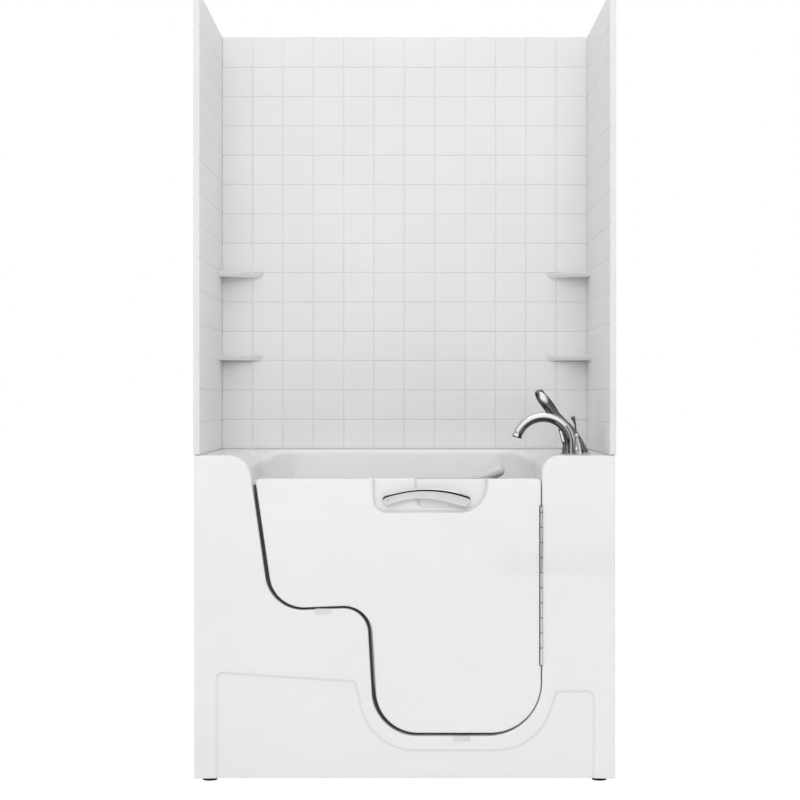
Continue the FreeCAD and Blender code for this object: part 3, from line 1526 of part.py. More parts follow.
def make_air_channels():
    low_y = f"({basin_middle} - floor_jet_spread - channel_width / 2)"
    high_y = f"({basin_middle} + floor_jet_spread + channel_width / 2)"
    legs = [
        (("channel_left", low_y), ("channel_right", f"{low_y} + channel_width")),
        (("channel_left", f"{high_y} - channel_width"), ("channel_right", high_y)),
        (("channel_left", low_y), ("channel_left + channel_width", high_y)),
    ]
    inlet_at = ("channel_left", air_line_y, air_height)
    inlet = rod("channel_inlet", air_bore, "channel_wall", inlet_at, along_x)
    base = f"({floor_under} - channel_height)"
    node("floor_air_channel", troughs("floor_channel", legs, base, floor_under, inlet))

    reach = "(seat_jet_spread + channel_width / 2)"
    low = ("seat_channel_left", f"{basin_middle} - {reach}")
    high = ("seat_channel_right", f"{basin_middle} + {reach}")
    inlet = rod("seat_inlet", air_bore, "channel_wall", ("air_riser_x", air_line_y, seat_channel_base))
    node("seat_air_channel", troughs("seat_channel", [(low, high)], seat_channel_base, seat_under, inlet))


def make_air_pipe():
    pipe_x = f"({valve_x} + valve_length)"
    tees = []
    for radius in ("air_pipe_radius", air_bore):
        run = rod("air_run", radius, f"channel_left - {pipe_x}", (pipe_x, air_line_y, air_height), along_x)
        riser_at = ("air_riser_x", air_line_y, air_height)
        riser = rod("air_riser", radius, f"{seat_channel_base} - {air_height}", riser_at)
        tees.append(join("air_tee", run, riser))
    node("air_pipe", cut("air_pipe_tee", *tees))
    valve_at = (valve_x, air_line_y, air_height)
    node("check_valve", tube("valve_body", "valve_radius", air_bore, "valve_length", valve_at, along_x))


def over_blower(height):
    return "blower_x", "blower_y", height


def make_blower():
    tray_low, tray_high = ("tray_left", "tray_front", frame_top), ("tray_right", "tray_back", tray_top)
    node("blower_tray", block("tray", tray_low, tray_high))
    base = f"({air_height} - blower_height / 2)"
    scroll = rod("blower_scroll", "blower_radius", "blower_height", over_blower(base))
    outlet_at, outlet_length = ("blower_x", air_line_y, air_height), f"{valve_x} - blower_x"
    outlet = rod("blower_outlet", "air_pipe_radius", outlet_length, outlet_at, along_x)
    outlet_way = rod("blower_outlet_way", air_bore, outlet_length, outlet_at, along_x)
    room_at = over_blower(f"{base} + blower_wall")
    room = rod("blower_room", "blower_radius - blower_wall", "blower_height - 2 * blower_wall", room_at)
    intake = rod("blower_intake", "intake_radius", "blower_wall", over_blower(base))
    shaft_hole_radius = "motor_shaft_radius + impeller_fit"
    shaft_hole = rod("blower_shaft_hole", shaft_hole_radius, "blower_height", over_blower(base))
    legs = []
    for index in range(int(amount_of("blower_leg_count"))):
        angle = f"(blower_leg_turn + {index} * 360 / blower_leg_count)"
        leg_x = f"blower_x + blower_leg_circle * cos({angle})"
        leg_y = f"blower_y + blower_leg_circle * sin({angle})"
        leg_height = f"{base} - {tray_top} + blower_wall"
        legs.append(rod("blower_leg", "blower_leg_radius", leg_height, (leg_x, leg_y, tray_top)))
    solid = join("blower_solid", scroll, outlet, *legs)
    node("blower_housing", cut("blower_case", solid, room, outlet_way, intake, shaft_hole))

    motor_base = f"({base} + blower_height)"
    shaft_reach = "(motor_height / 2)"
    can = rod("motor_can", "motor_radius", "motor_height", over_blower(motor_base))
    shaft_room = rod("motor_shaft_room", shaft_hole_radius, shaft_reach, over_blower(motor_base))
    node("blower_motor", cut("motor", can, shaft_room))

    wheel = doc.addObject("PartDesign::Body", "impeller_wheel")
    pad(wheel, disc(wheel, "XY_Plane", "0", ("0", "0"), "impeller_radius"), "impeller_vane_thick")
    pad(wheel, disc(wheel, "XY_Plane", "0", ("0", "0"), "impeller_hub"), "impeller_height")
    vane = rectangle(("impeller_hub - impeller_vane_thick", "-impeller_vane_thick / 2"),
                     ("impeller_radius - impeller_vane_thick", "impeller_vane_thick / 2"))
    first = pad(wheel, outline(wheel, "XY_Plane", "0", vane), "impeller_height")
    ring_copies(wheel, first, "Z_Axis", "impeller_vanes")
    place(wheel, over_blower(f"{air_height} - impeller_height / 2"))
    shaft_length = f"{motor_base} + {shaft_reach} - impeller_fit - {air_height}"
    shaft = rod("motor_shaft", "motor_shaft_radius", shaft_length, over_blower(air_height))
    node("blower_impeller", join("impeller", wheel, shaft))


def make_controls():
    low = ("blower_x - control_length / 2", "tray_front", tray_top)
    high = ("blower_x + control_length / 2", "tray_front + control_width", f"{tray_top} + control_height")
    case = block("control_case", low, high)
    gland_at = (f"{low[0]} - gland_length", "tray_front + control_width / 2", f"{tray_top} + control_height / 2")
    gland = rod("control_gland", "gland_radius", "gland_length", gland_at, along_x)
    gland_bore = rod("control_gland_bore", "gland_bore", "gland_length", gland_at, along_x)
    node("control_box", cut("control_unit", join("control_solid", case, gland), gland_bore))

    x, y = deck_place("button")
    flange = rod("button_bezel", "bezel_radius", "bezel_height", (x, y, "deck_height"))
    barrel_base = "(deck_height - button_body_length)"
    barrel = rod("button_barrel", "button_body_radius", "button_body_length", (x, y, barrel_base))
    room_base = "(deck_height + bezel_height + button_rise - button_length - button_travel - button_fit)"
    room_height = f"deck_height + bezel_height - {room_base}"
    room = rod("button_room", "button_radius + button_fit", room_height, (x, y, room_base))
    node("button_housing", cut("button_case", join("button_case_solid", flange, barrel), room))
    cap_base = "(deck_height + bezel_height + button_rise - button_length)"
    node("air_button", rod("button_cap", "button_radius", "button_length", (x, y, cap_base)))


make_tub_shell()
make_front_apron()
make_pads()
make_door()
make_pull_handle()
make_hinge()
make_latch()
make_frame()
make_brackets()
make_surround()
make_shelves()
make_spout()
make_valves()
make_hand_shower()
make_drain()
make_waste_pipe()
make_overflow()
make_air_jets()
make_air_channels()
make_air_pipe()
make_blower()
make_controls()
doc.recompute()

for item in doc.Objects:
    if "Invalid" in item.State or "Error" in item.State:
        raise ValueError(f"{item.Name} failed: {item.State}")
for label, item in nodes.items():
    if item.Shape.isNull() or not item.Shape.isValid():
        raise ValueError(f"{label} has no valid shape")
os.makedirs("parts", exist_ok=True)
for label, item in nodes.items():
    item.Shape.exportStep(f"parts/{label}.step")
print(len(nodes), "nodes written")
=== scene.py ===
import math
import bmesh
import bpy
import numpy as np
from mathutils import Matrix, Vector
from mathutils.geometry import delaunay_2d_cdt


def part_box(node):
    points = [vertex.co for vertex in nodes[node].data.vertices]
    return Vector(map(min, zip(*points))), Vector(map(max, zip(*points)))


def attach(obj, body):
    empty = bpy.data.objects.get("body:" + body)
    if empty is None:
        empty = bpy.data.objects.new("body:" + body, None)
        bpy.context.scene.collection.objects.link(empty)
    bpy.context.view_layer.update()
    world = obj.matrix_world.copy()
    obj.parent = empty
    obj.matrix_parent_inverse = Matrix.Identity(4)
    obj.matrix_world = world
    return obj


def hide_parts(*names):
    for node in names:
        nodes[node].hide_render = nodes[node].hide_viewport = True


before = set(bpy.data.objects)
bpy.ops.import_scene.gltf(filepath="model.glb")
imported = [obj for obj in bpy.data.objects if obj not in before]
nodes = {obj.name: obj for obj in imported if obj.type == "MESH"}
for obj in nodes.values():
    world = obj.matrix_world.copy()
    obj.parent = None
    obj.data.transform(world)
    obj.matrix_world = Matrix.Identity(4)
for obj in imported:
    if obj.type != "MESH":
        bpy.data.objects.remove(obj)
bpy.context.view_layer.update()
scene = bpy.context.scene
mm = 0.001
print("frame loaded:", len(nodes), "nodes")


def addObject(name, data):
    thing = bpy.data.objects.new(name, data)
    scene.collection.objects.link(thing)
    return thing


def addNode(tree, kind, values=None, operation=None):
    # values are numbers and colours to set, or other nodes and their outputs to link
    node = tree.nodes.new("ShaderNode" + kind)
    if operation:
        node.operation = operation
    for key, value in (values or {}).items():
        if isinstance(value, bpy.types.Node):
            value = value.outputs[0]
        if isinstance(value, bpy.types.NodeSocket):
            tree.links.new(value, node.inputs[key])
        else:
            node.inputs[key].default_value = value
    return node


# view and light

viewSetup = {
    "eye": (0.0, -6.026, 1.237),  # straight on, at the height that the photo was taken from
    "lens": 79.7, "sensor": 36, "shift": (-0.0059, -0.005), "farEnd": 90,
    "ambient": 0.56, "floorTone": 0.93, "floorGlow": 1.10, "floorReach": 60,
    "floorShare": 0.88,  # the rest keeps the shadow
}
# place, target, size and watts
studioLamps = {
    "frontLamp": ((0.0, -5.4, 3.0), (0, 0, 1.1), 4.0, 98),
    "topLamp": ((0.0, -1.3, 4.6), (0, 0.1, 0.9), 2.4, 16),
    "leftLamp": ((-3.4, -3.4, 2.2), (0, 0.1, 1.3), 3.0, 14),
    "rightLamp": ((3.4, -3.4, 2.2), (0, 0.1, 1.3), 3.0, 14),
}
# cards that only polished metal sees: low corner, high corner, brightness
studioCards = {
    "brightRoof": ((-1.2, -1.1, 4.2), (1.6, 1.2, 4.2), 2.0),
    "darkTable": ((0.30, -1.15, 0.66), (0.95, -0.42, 0.66), 0.02),
    "leftFlag": ((-2.6, -4.6, 0.0), (-2.6, -0.9, 2.6), 0.03),
    "rightFlag": ((2.6, -4.6, 0.0), (2.6, -0.9, 2.6), 0.03),
}
white = (1, 1, 1, 1)


def addLamp(name, place, target, size, watts):
    data = bpy.data.lights.new(name, "AREA")
    data.shape = "DISK"
    data.size, data.energy = size, watts
    lamp = addObject(name, data)
    lamp.location = place
    lamp.rotation_euler = (Vector(target) - Vector(place)).to_track_quat("-Z", "Y").to_euler()
    lamp.visible_glossy = False  # no hot spots in the gloss


def emptyTree(owner):
    owner.use_nodes = True
    owner.node_tree.nodes.clear()
    return owner.node_tree


def stageSheet(name, corners):
    mesh = bpy.data.meshes.new(name)
    mesh.from_pydata(corners, [], [(0, 1, 2, 3)])
    material = bpy.data.materials.new(name)
    mesh.materials.append(material)
    sheet = addObject(name, mesh)
    return sheet, emptyTree(material)


def addCard(name, low, high, level):
    (x0, y0, z0), (x1, y1, z1) = low, high
    corners = [(x0, y0, z0), (x1, y0, z0), (x1, y1, z1), (x0, y1, z1)]
    if x0 == x1:
        corners = [(x0, y0, z0), (x0, y1, z0), (x0, y1, z1), (x0, y0, z1)]
    card, tree = stageSheet(name, corners)
    addNode(tree, "OutputMaterial", {0: addNode(tree, "Emission", {"Color": white, "Strength": level})})
    card.visible_camera = card.visible_diffuse = card.visible_shadow = card.visible_transmission = False


def whiteForEye(tree):
    # 1 where the eye, a mirror or a glass looks straight at the surroundings
    path = addNode(tree, "LightPath").outputs
    first = addNode(tree, "Math", {0: path["Is Camera Ray"], 1: path["Is Glossy Ray"]}, "MAXIMUM")
    return addNode(tree, "Math", {0: first, 1: path["Is Transmission Ray"]}, "MAXIMUM")


def setView():
    data = bpy.data.cameras.new("photoCamera")
    data.lens, data.sensor_width, data.clip_end = (viewSetup[key] for key in ("lens", "sensor", "farEnd"))
    data.shift_x, data.shift_y = viewSetup["shift"]
    scene.camera = addObject("photoCamera", data)
    scene.camera.location = viewSetup["eye"]
    scene.camera.rotation_euler = (math.radians(90), 0, 0)
    scene.view_settings.view_transform = "Standard"


def lightStudio():
    scene.world = bpy.data.worlds.new("studio")
    tree = emptyTree(scene.world)
    room = addNode(tree, "Background", {"Color": white, "Strength": viewSetup["ambient"]})
    bright = addNode(tree, "Background", {"Color": white, "Strength": 1})
    addNode(tree, "OutputWorld", {0: addNode(tree, "MixShader", {0: whiteForEye(tree), 1: room, 2: bright})})
    for name, spec in studioLamps.items():
        addLamp(name, *spec)
    for name, spec in studioCards.items():
        addCard(name, *spec)


def layFloor():
    reach, tone = viewSetup["floorReach"], viewSetup["floorTone"]
    corners = [(-reach, -reach, 0), (reach, -reach, 0), (reach, reach, 0), (-reach, reach, 0)]
    _, tree = stageSheet("floor", corners)
    matte = addNode(tree, "BsdfDiffuse", {"Color": (tone, tone, tone, 1)})
    glow = addNode(tree, "Emission", {"Color": white, "Strength": viewSetup["floorGlow"]})
    share = addNode(tree, "Math", {0: whiteForEye(tree), 1: viewSetup["floorShare"]}, "MULTIPLY")
    addNode(tree, "OutputMaterial", {0: addNode(tree, "MixShader", {0: share, 1: matte, 2: glow})})


setView()
lightStudio()
layFloor()
print("view and light set")


# finishes

def noiseOf(tree, scale, detail=3.0, stretch=None):
    spot = addNode(tree, "TexCoord").outputs["Object"]
    if stretch:
        spot = addNode(tree, "Mapping", {"Vector": spot, "Scale": stretch})
    return addNode(tree, "TexNoise", {"Vector": spot, "Scale": scale, "Detail": detail})


def makeFinish(name, tints, rough, noises, bump, metallic=0.0, coat=0.0):
    # noises drive tint, roughness and bump: scale, detail, stretch; bump is strength and depth
    material = bpy.data.materials.new(name)
    material.use_nodes = True
    tree = material.node_tree
    made = {noise: noiseOf(tree, *noise) for noise in dict.fromkeys(noises)}
    tint, wear, relief = (made[noise] for noise in noises)
    ramp = addNode(tree, "ValToRGB", {"Fac": tint})
    for stop, position, tone in zip(ramp.color_ramp.elements, (0.3, 0.7), tints):
        stop.position = position
        stop.color = (*tone, 1) if isinstance(tone, tuple) else (tone, tone, tone, 1)
    span = addNode(tree, "MapRange", {"Value": wear, "To Min": rough[0], "To Max": rough[1]})
    grain = addNode(tree, "Bump", {"Height": relief, "Strength": bump[0], "Distance": bump[1]})
    shader = tree.nodes["Principled BSDF"].inputs
    for key, node in (("Base Color", ramp), ("Roughness", span), ("Normal", grain)):
        tree.links.new(node.outputs[0], shader[key])
    for key, value in (("Metallic", metallic), ("Coat Weight", coat), ("Coat Roughness", 0.06)):
        shader[key].default_value = value
    return material


def glossyShell(name, low, high, rough=(0.16, 0.24), coat=0.25):
    # moulded sheet with a hint of orange peel
    return makeFinish(name, (low, high), rough, ((2.2,), (14,), (260, 2)), (0.05, 0.4 * mm), coat=coat)


def polishedMetal(name, low, high, rough=(0.03, 0.09)):
    return makeFinish(name, (low, high), rough, ((9,), (40,), (900, 2)), (0.02, 0.2 * mm), metallic=1.0)


def brushedMetal(name, low, high, stretch, rough=(0.25, 0.42)):
    return makeFinish(name, (low, high), rough, ((60, 4, stretch),) * 3, (0.12, 0.3 * mm), metallic=1.0)


def mouldedPlastic(name, low, high, rough=(0.38, 0.55), grain=420, strength=0.12):
    return makeFinish(name, (low, high), rough, ((6,), (30,), (grain, 2)), (strength, 0.4 * mm))


def paintShadeByNormal(material, level, low=-0.06, high=0.14, axis="Z"):
    # painted shade and reflection: the base colour is darkened by the world normal, so undersides look dark
    # as if they mirrored a shaded deck; another axis darkens another side
    tree = material.node_tree
    base = tree.nodes["Principled BSDF"].inputs["Base Color"]
    split = addNode(tree, "SeparateXYZ", {"Vector": addNode(tree, "NewGeometry").outputs["Normal"]})
    ends = {"From Min": low, "From Max": high, "To Min": level}
    span = addNode(tree, "MapRange", {"Value": split.outputs[axis], **ends})
    tint = addNode(tree, "VectorMath", {0: base.links[0].from_socket, 1: span}, "MULTIPLY")
    tree.links.new(tint.outputs[0], base)
    return material


# painted light and shade: these chromes are copies of one chrome set lighter or darker to stand in for the
# bright and dark surroundings they would mirror
chromeLitPainted = polishedMetal("chromeLitPainted", (0.82, 0.825, 0.83), (0.88, 0.885, 0.89))
chromeMidPainted = polishedMetal("chromeMidPainted", (0.38, 0.385, 0.39), (0.46, 0.465, 0.47))
chromeDarkPainted = polishedMetal("chromeDarkPainted", (0.17, 0.172, 0.175), (0.22, 0.222, 0.225))
finishes = {
    "acrylic": glossyShell("whiteAcrylic", 0.835, 0.865),
    # painted light and shade: copies of one white, a little darker on the skirt, darker on the back tiles and
    # the side panels' front edges, lighter on the side tiles, to match how brightly each is lit
    "skirt": glossyShell("whiteSkirt", 0.80, 0.83),
    "tile": glossyShell("whiteTilePanel", 0.77, 0.805, (0.12, 0.2)),
    "sideTile": glossyShell("sidePanelPaintedLight", 0.85, 0.88, (0.5, 0.58), coat=0),
    "edgeStrip": glossyShell("edgeStripPaintedShade", 0.715, 0.745, (0.2, 0.3)),
    # painted shade: shelf undersides darkened
    "shelf": paintShadeByNormal(glossyShell("shelfPaintedShade", 0.78, 0.82, (0.14, 0.22)), 0.72, -0.98, -0.8),
    "chrome": polishedMetal("chrome", (0.50, 0.51, 0.52), (0.56, 0.57, 0.58)),
    # painted shade and reflection: spout undersides darkened, and faces not turned to the front darkened as a
    # dark rim round the tube
    "spout": paintShadeByNormal(paintShadeByNormal(chromeLitPainted, 0.14), 0.42, -0.35, -0.75, "Y"),
    # painted highlight: a bright copy of the chrome for the finial, the shower pad and a streak down the hot
    # lever
    "finial": polishedMetal("chromeHighlightPainted", (0.86, 0.865, 0.87), (0.92, 0.925, 0.93), (0.2, 0.28)),
    # painted shade: lever and shower chromes are darker copies, with their undersides darkened further
    "lever": paintShadeByNormal(chromeMidPainted, 0.25),
    "shower": paintShadeByNormal(chromeDarkPainted, 0.5),
    # painted shade: the pin is set nearly black so that the gaps between the knuckles read as dark lines
    "pin": brushedMetal("pinPaintedShade", 0.05, 0.08, (1, 1, 22)),
    "pullPaintedLine": polishedMetal("pullPaintedDarkLine", 0.02, 0.035),
    "pull": polishedMetal("polishedPull", (0.61, 0.615, 0.62), (0.67, 0.675, 0.68)),
    "pullEnd": glossyShell("softPullEnd", 0.64, 0.70, (0.2, 0.3)),
    "hinge": brushedMetal("stainlessHinge", 0.80, (0.90, 0.90, 0.89), (1, 1, 22), (0.36, 0.5)),
    "steel": brushedMetal("zincSteel", (0.44, 0.45, 0.47), (0.6, 0.61, 0.63), (3, 3, 3), (0.38, 0.6)),
    # painted shade: the white grip is set grey and its underside darkened further
    "grip": paintShadeByNormal(mouldedPlastic("gripPaintedShade", 0.58, 0.64, (0.3, 0.42)), 0.25, -0.95, 0.25),
    "pad": mouldedPlastic("palePad", 0.66, 0.70, (0.35, 0.5)),
    "pipe": mouldedPlastic("whitePipe", (0.76, 0.76, 0.73), (0.82, 0.82, 0.79), (0.28, 0.4)),
    "dark": mouldedPlastic("blackPlastic", 0.018, 0.032),
    "rubber": mouldedPlastic("blackRubber", 0.012, 0.022, (0.6, 0.8)),
    "seal": mouldedPlastic("sealRubber", 0.05, 0.08, (0.55, 0.75)),
    "bead": mouldedPlastic("siliconeBead", 0.54, 0.60, (0.35, 0.5)),
    "foam": mouldedPlastic("doorFoam", (0.75, 0.7, 0.55), (0.83, 0.78, 0.62), (0.8, 0.95), 200, 0.5),
    "box": mouldedPlastic("greyEnclosure", 0.3, 0.36, (0.4, 0.6)),
    "brass": brushedMetal("plainBrass", (0.62, 0.45, 0.2), (0.74, 0.55, 0.27), (4, 4, 4), (0.25, 0.4)),
}
nodeFinish = {
    "acrylic": "tub_shell door_inner_panel",
    "skirt": "front_apron door_outer_panel",
    "tile": "surround_back_panel",
    "sideTile": "surround_left_panel surround_right_panel",
    "shelf": "shelf_left_low shelf_left_high shelf_right_low shelf_right_high",
    "chrome": "spout spout_aerator tap_roses hot_handle cold_handle diverter_handle hand_shower "
              "hand_shower_holder drain_flange drain_stopper overflow_plate overflow_knob air_button "
              "button_housing air_jets",
    "pull": "door_handle",
    "hinge": "hinge_leaf_tub hinge_leaf_door hinge_pin hinge_screws_tub hinge_screws_door handle_screws "
             "latch_spindle latch_pinion latch_rod",
    "steel": "base_frame apron_brackets foot_locknuts blower_tray",
    "grip": "latch_lever latch_rose",
    "pad": "door_rest_pad latch_keeper",
    "pipe": "waste_pipe air_pipe check_valve floor_air_channel seat_air_channel",
    "dark": "blower_housing blower_motor blower_impeller",
    "rubber": "leveling_feet",
    "seal": "door_seal",
    "bead": "sealant_bed",
    "foam": "door_core",
    "box": "control_box",
    "brass": "valve_bodies mixer_pipes",
}
for finish, names in nodeFinish.items():
    for name in names.split():
        nodes[name].data.materials.clear()
        nodes[name].data.materials.append(finishes[finish])
print("finishes set on", sum(len(names.split()) for names in nodeFinish.values()), "nodes")


# mesh tools

def placePiece(mesh, finish, body, sharp, node=None):
    # sharp is the angle, in degrees, from which the shading breaks
    mesh.materials.append(finishes[finish])
    sharpenAt(mesh, sharp)
    piece = addObject(mesh.name, mesh)
    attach(piece, body)
    if node:
        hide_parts(node)
    return piece


def sharpenAt(mesh, degrees):
    mesh.shade_smooth()
    mesh.set_sharp_from_angle(angle=math.radians(degrees))


def newPiece(name, shape, finish, body="root", sharp=50, node=None):
    verts, faces = shape
    mesh = bpy.data.meshes.new(name)
    mesh.from_pydata([tuple(v) for v in verts], [], [tuple(f) for f in faces])
    mesh.validate()
    tool = bmesh.new()
    tool.from_mesh(mesh)
    bmesh.ops.recalc_face_normals(tool, faces=tool.faces)
    tool.to_mesh(mesh)
    tool.free()
    return placePiece(mesh, finish, body, sharp, node)


def cutBox(piece, ends, sharp):
    # takes a box out of a closed piece
    xs, ys, zs = zip(*ends)
    spots = [(x, y, z) for x in xs for y in ys for z in zs]
    sides = [(0, 1, 3, 2), (4, 6, 7, 5), (0, 4, 5, 1), (2, 3, 7, 6), (0, 2, 6, 4), (1, 5, 7, 3)]
    mesh = bpy.data.meshes.new("cutter")
    mesh.from_pydata(spots, [], sides)
    cutter = addObject("cutter", mesh)
    cut = piece.modifiers.new("cut", "BOOLEAN")
    cut.operation, cut.solver, cut.object = "DIFFERENCE", "EXACT", cutter
    bpy.context.view_layer.update()
    whole = bpy.data.meshes.new_from_object(piece.evaluated_get(bpy.context.evaluated_depsgraph_get()))
    piece.modifiers.clear()
    former, piece.data = piece.data, whole
    whole.name, before = former.name, len(former.polygons)
    bpy.data.meshes.remove(former)
    bpy.data.objects.remove(cutter)
    bpy.data.meshes.remove(mesh)
    sharpenAt(whole, sharp)
    print("cut", piece.name, before, "faces to", len(whole.polygons))


def roundedLine(corners, step=4 * mm, arcSteps=0):
    # corners are (x, z) or (x, z, radius); round corners become arcs
    line = []
    for index, corner in enumerate(corners):
        here = np.array(corner[:2])
        if len(corner) < 3:
            line.append(here)
            continue
        radius = corner[2]
        neighbours = corners[index - 1], corners[(index + 1) % len(corners)]
        toBefore, toAfter = (np.array(spot[:2]) - here for spot in neighbours)
        toBefore /= np.linalg.norm(toBefore)
        toAfter /= np.linalg.norm(toAfter)
        half = math.acos(np.clip(toBefore @ toAfter, -1, 1)) / 2
        middle = toBefore + toAfter
        centre = here + middle / np.linalg.norm(middle) * radius / math.sin(half)
        arm = here + toBefore * radius / math.tan(half) - centre
        turn = math.pi - 2 * half
        steps = arcSteps or max(3, int(radius * turn / step))
        side = np.sign(toBefore[0] * toAfter[1] - toBefore[1] * toAfter[0])
        for angle in -side * turn * np.arange(steps + 1) / steps:
            spin = np.array([[math.cos(angle), -math.sin(angle)], [math.sin(angle), math.cos(angle)]])
            line.append(centre + spin @ arm)
    return np.array(line)


def fineLine(line, step):
    # the same closed line with its long runs divided
    out = []
    for start, end in zip(line, np.roll(line, -1, axis=0)):
        if np.linalg.norm(end - start) < 1e-7:
            continue
        parts = max(1, int(np.linalg.norm(end - start) / step))
        out.extend(start + (end - start) * k / parts for k in range(parts))
    return np.array(out)


def insetLine(line, amount):
    # moves a closed line inwards by amount, or outwards if it is negative
    x, z = line.T
    if np.sum(x * np.roll(z, -1) - np.roll(x, -1) * z) < 0:
        line = line[::-1]
    back, ahead = line - np.roll(line, 1, axis=0), np.roll(line, -1, axis=0) - line
    back /= np.linalg.norm(back, axis=1)[:, None]
    ahead /= np.linalg.norm(ahead, axis=1)[:, None]
    normal = np.stack([-(back + ahead)[:, 1], (back + ahead)[:, 0]], axis=1)
    length = np.linalg.norm(normal, axis=1)[:, None]
    return line + normal / length * amount / np.clip(length / 2, 0.35, 1)


def depthIn(points, line):
    # distance of each point to a closed line, positive inside it
    runs = np.roll(line, -1, axis=0) - line
    px, pz = np.asarray(points).T
    least = np.full(len(points), 1e9)
    inside = np.zeros(len(points), bool)
    for (sx, sz), (rx, rz) in zip(line, runs):
        t = np.clip(((px - sx) * rx + (pz - sz) * rz) / max(rx * rx + rz * rz, 1e-12), 0, 1)
        least = np.minimum(least, np.hypot(px - sx - t * rx, pz - sz - t * rz))
        if rz:
            crosses = (sz > pz) != (sz + rz > pz)
            inside ^= crosses & (px < sx + rx * (pz - sz) / rz)
    return np.where(inside, least, -least)


def easeIn(value, low, high):
    t = np.clip((value - low) / (high - low), 0, 1)
    return t * t * (3 - 2 * t)


def rimDrop(depth, radius):
    # how far a rounded edge falls back, by distance from the edge
    short = np.clip(radius - depth, 0, radius)
    return radius - np.sqrt(np.maximum(radius ** 2 - short ** 2, 0))


def plateFaces(line, loops, gridStep):
    # flat triangles inside a closed line, finer along the given loops
    spots, edges = [], []
    for loop in (line, *loops):
        first = len(spots)
        spots += [tuple(p) for p in loop]
        edges += [(first + k, first + (k + 1) % len(loop)) for k in range(len(loop))]
    low, high = line.min(axis=0), line.max(axis=0)
    grid = np.stack(np.meshgrid(np.arange(low[0] + gridStep / 2, high[0], gridStep),
                                np.arange(low[1] + gridStep / 2, high[1], gridStep)), -1).reshape(-1, 2)
    clear = depthIn(grid, line) > gridStep * 0.4
    for loop in loops:
        clear &= np.abs(depthIn(grid, loop)) > gridStep * 0.3
    spots += [tuple(p) for p in grid[clear]]
    verts, _, faces, *_ = delaunay_2d_cdt([Vector(p) for p in spots], edges, [], 1, 1e-6)
    flat = np.array([tuple(v) for v in verts])
    kept = depthIn(np.array([flat[list(f)].mean(axis=0) for f in faces]), line) > 0
    return flat, [f for f, keep in zip(faces, kept) if keep]


def renumber(faces):
    # the points that faces use, and the faces counted on those alone
    used = sorted({k for f in faces for k in f})
    index = {k: n for n, k in enumerate(used)}
    return used, [tuple(index[k] for k in f) for f in faces]


def twoSkins(faces, count):
    # a sheet's faces, the same ones behind it and strips along its open edges
    edges = {}
    for f in faces:
        for a, b in zip(f, f[1:] + f[:1]):
            if (b, a) in edges:
                del edges[(b, a)]
            else:
                edges[(a, b)] = True
    behind = [tuple(k + count for k in f[::-1]) for f in faces]
    return [*faces, *behind, *((b, a, a + count, b + count) for a, b in edges)]


def plateSolid(flat, faces, yFront, yBack, lean=0):
    # closes a relief plate with sides and a back of its own depth; lean shifts the back edge
    used, faces = renumber(faces)
    behind = flat + lean
    verts = [(flat[k][0], yFront[k], flat[k][1]) for k in used]
    verts += [(behind[k][0], yBack[k], behind[k][1]) for k in used]
    return verts, twoSkins(faces, len(used))


def oval(half, upright, power=2.0, sides=28):
    # (across, up) points of an oval, squarer as power grows
    turns = np.arange(sides) * 2 * math.pi / sides
    wide, tall = (np.sign(wave) * np.abs(wave) ** (2 / power) for wave in (np.cos(turns), np.sin(turns)))
    return np.stack([half * wide, upright * tall], axis=1)


def tubeFaces(rings, sides):
    # quads between rings of points, with both ends closed
    faces = []
    for base in range(0, (rings - 1) * sides, sides):
        for k in range(sides):
            n = (k + 1) % sides
            faces.append((base + k, base + n, base + sides + n, base + sides + k))
    return faces + [tuple(base + k for k in range(sides)) for base in (0, (rings - 1) * sides)]


def sweepSections(path, sections, across=(0, 1, 0), tangents=None):
    # a tube through (across, up) sections set square to a line
    path, across = np.array(path, float), np.array(across, float)
    if tangents is None:
        tangents = np.gradient(path, axis=0)
    verts = []
    for point, tangent, section in zip(path, tangents, sections):
        up = np.cross(tangent, across)
        up /= np.linalg.norm(up)
        verts += [tuple(point + across * a + up * b) for a, b in section]
    return verts, tubeFaces(len(path), len(sections[0]))


def smoothPath(points, count):
    # a soft curve through a few points, evenly stepped
    points = np.array(points, float)
    marks = np.concatenate([[0], np.cumsum(np.linalg.norm(np.diff(points, axis=0), axis=1))])
    slopes = np.gradient(points, marks, axis=0)
    out = []
    for t in np.linspace(0, marks[-1], count):
        k = min(np.searchsorted(marks, t, side="right") - 1, len(points) - 2)
        span = marks[k + 1] - marks[k]
        s = (t - marks[k]) / span
        out.append(points[k] * (2 * s ** 3 - 3 * s ** 2 + 1) + slopes[k] * span * (s ** 3 - 2 * s ** 2 + s)
                   + points[k + 1] * (3 * s ** 2 - 2 * s ** 3) + slopes[k + 1] * span * (s ** 3 - s ** 2))
    return np.array(out)


def lathe(profile, centre, sides):
    # turns (radius, height) points about an upright axis; radius 0 closes an end
    x, y, z = centre
    verts, faces, rings = [], [], []
    for radius, height in profile:
        spots = sides if radius else 1
        rings.append([len(verts) + k % spots for k in range(sides)])
        turns = [2 * math.pi * k / sides for k in range(spots)]
        verts += [(x + radius * math.cos(t), y + radius * math.sin(t), z + height) for t in turns]
    for low, high in zip(rings, rings[1:]):
        for k in range(sides):
            n = (k + 1) % sides
            if low[k] == low[n]:
                faces.append((low[0], high[n], high[k]))
            elif high[k] == high[n]:
                faces.append((low[k], low[n], high[0]))
            else:
                faces.append((low[k], low[n], high[n], high[k]))
    return verts, faces


def mergeMeshes(*parts):
    verts, faces = [], []
    for partVerts, partFaces in parts:
        first = len(verts)
        verts += list(partVerts)
        faces += [tuple(k + first for k in f) for f in partFaces]
    return verts, faces


# doorway, skirt and door

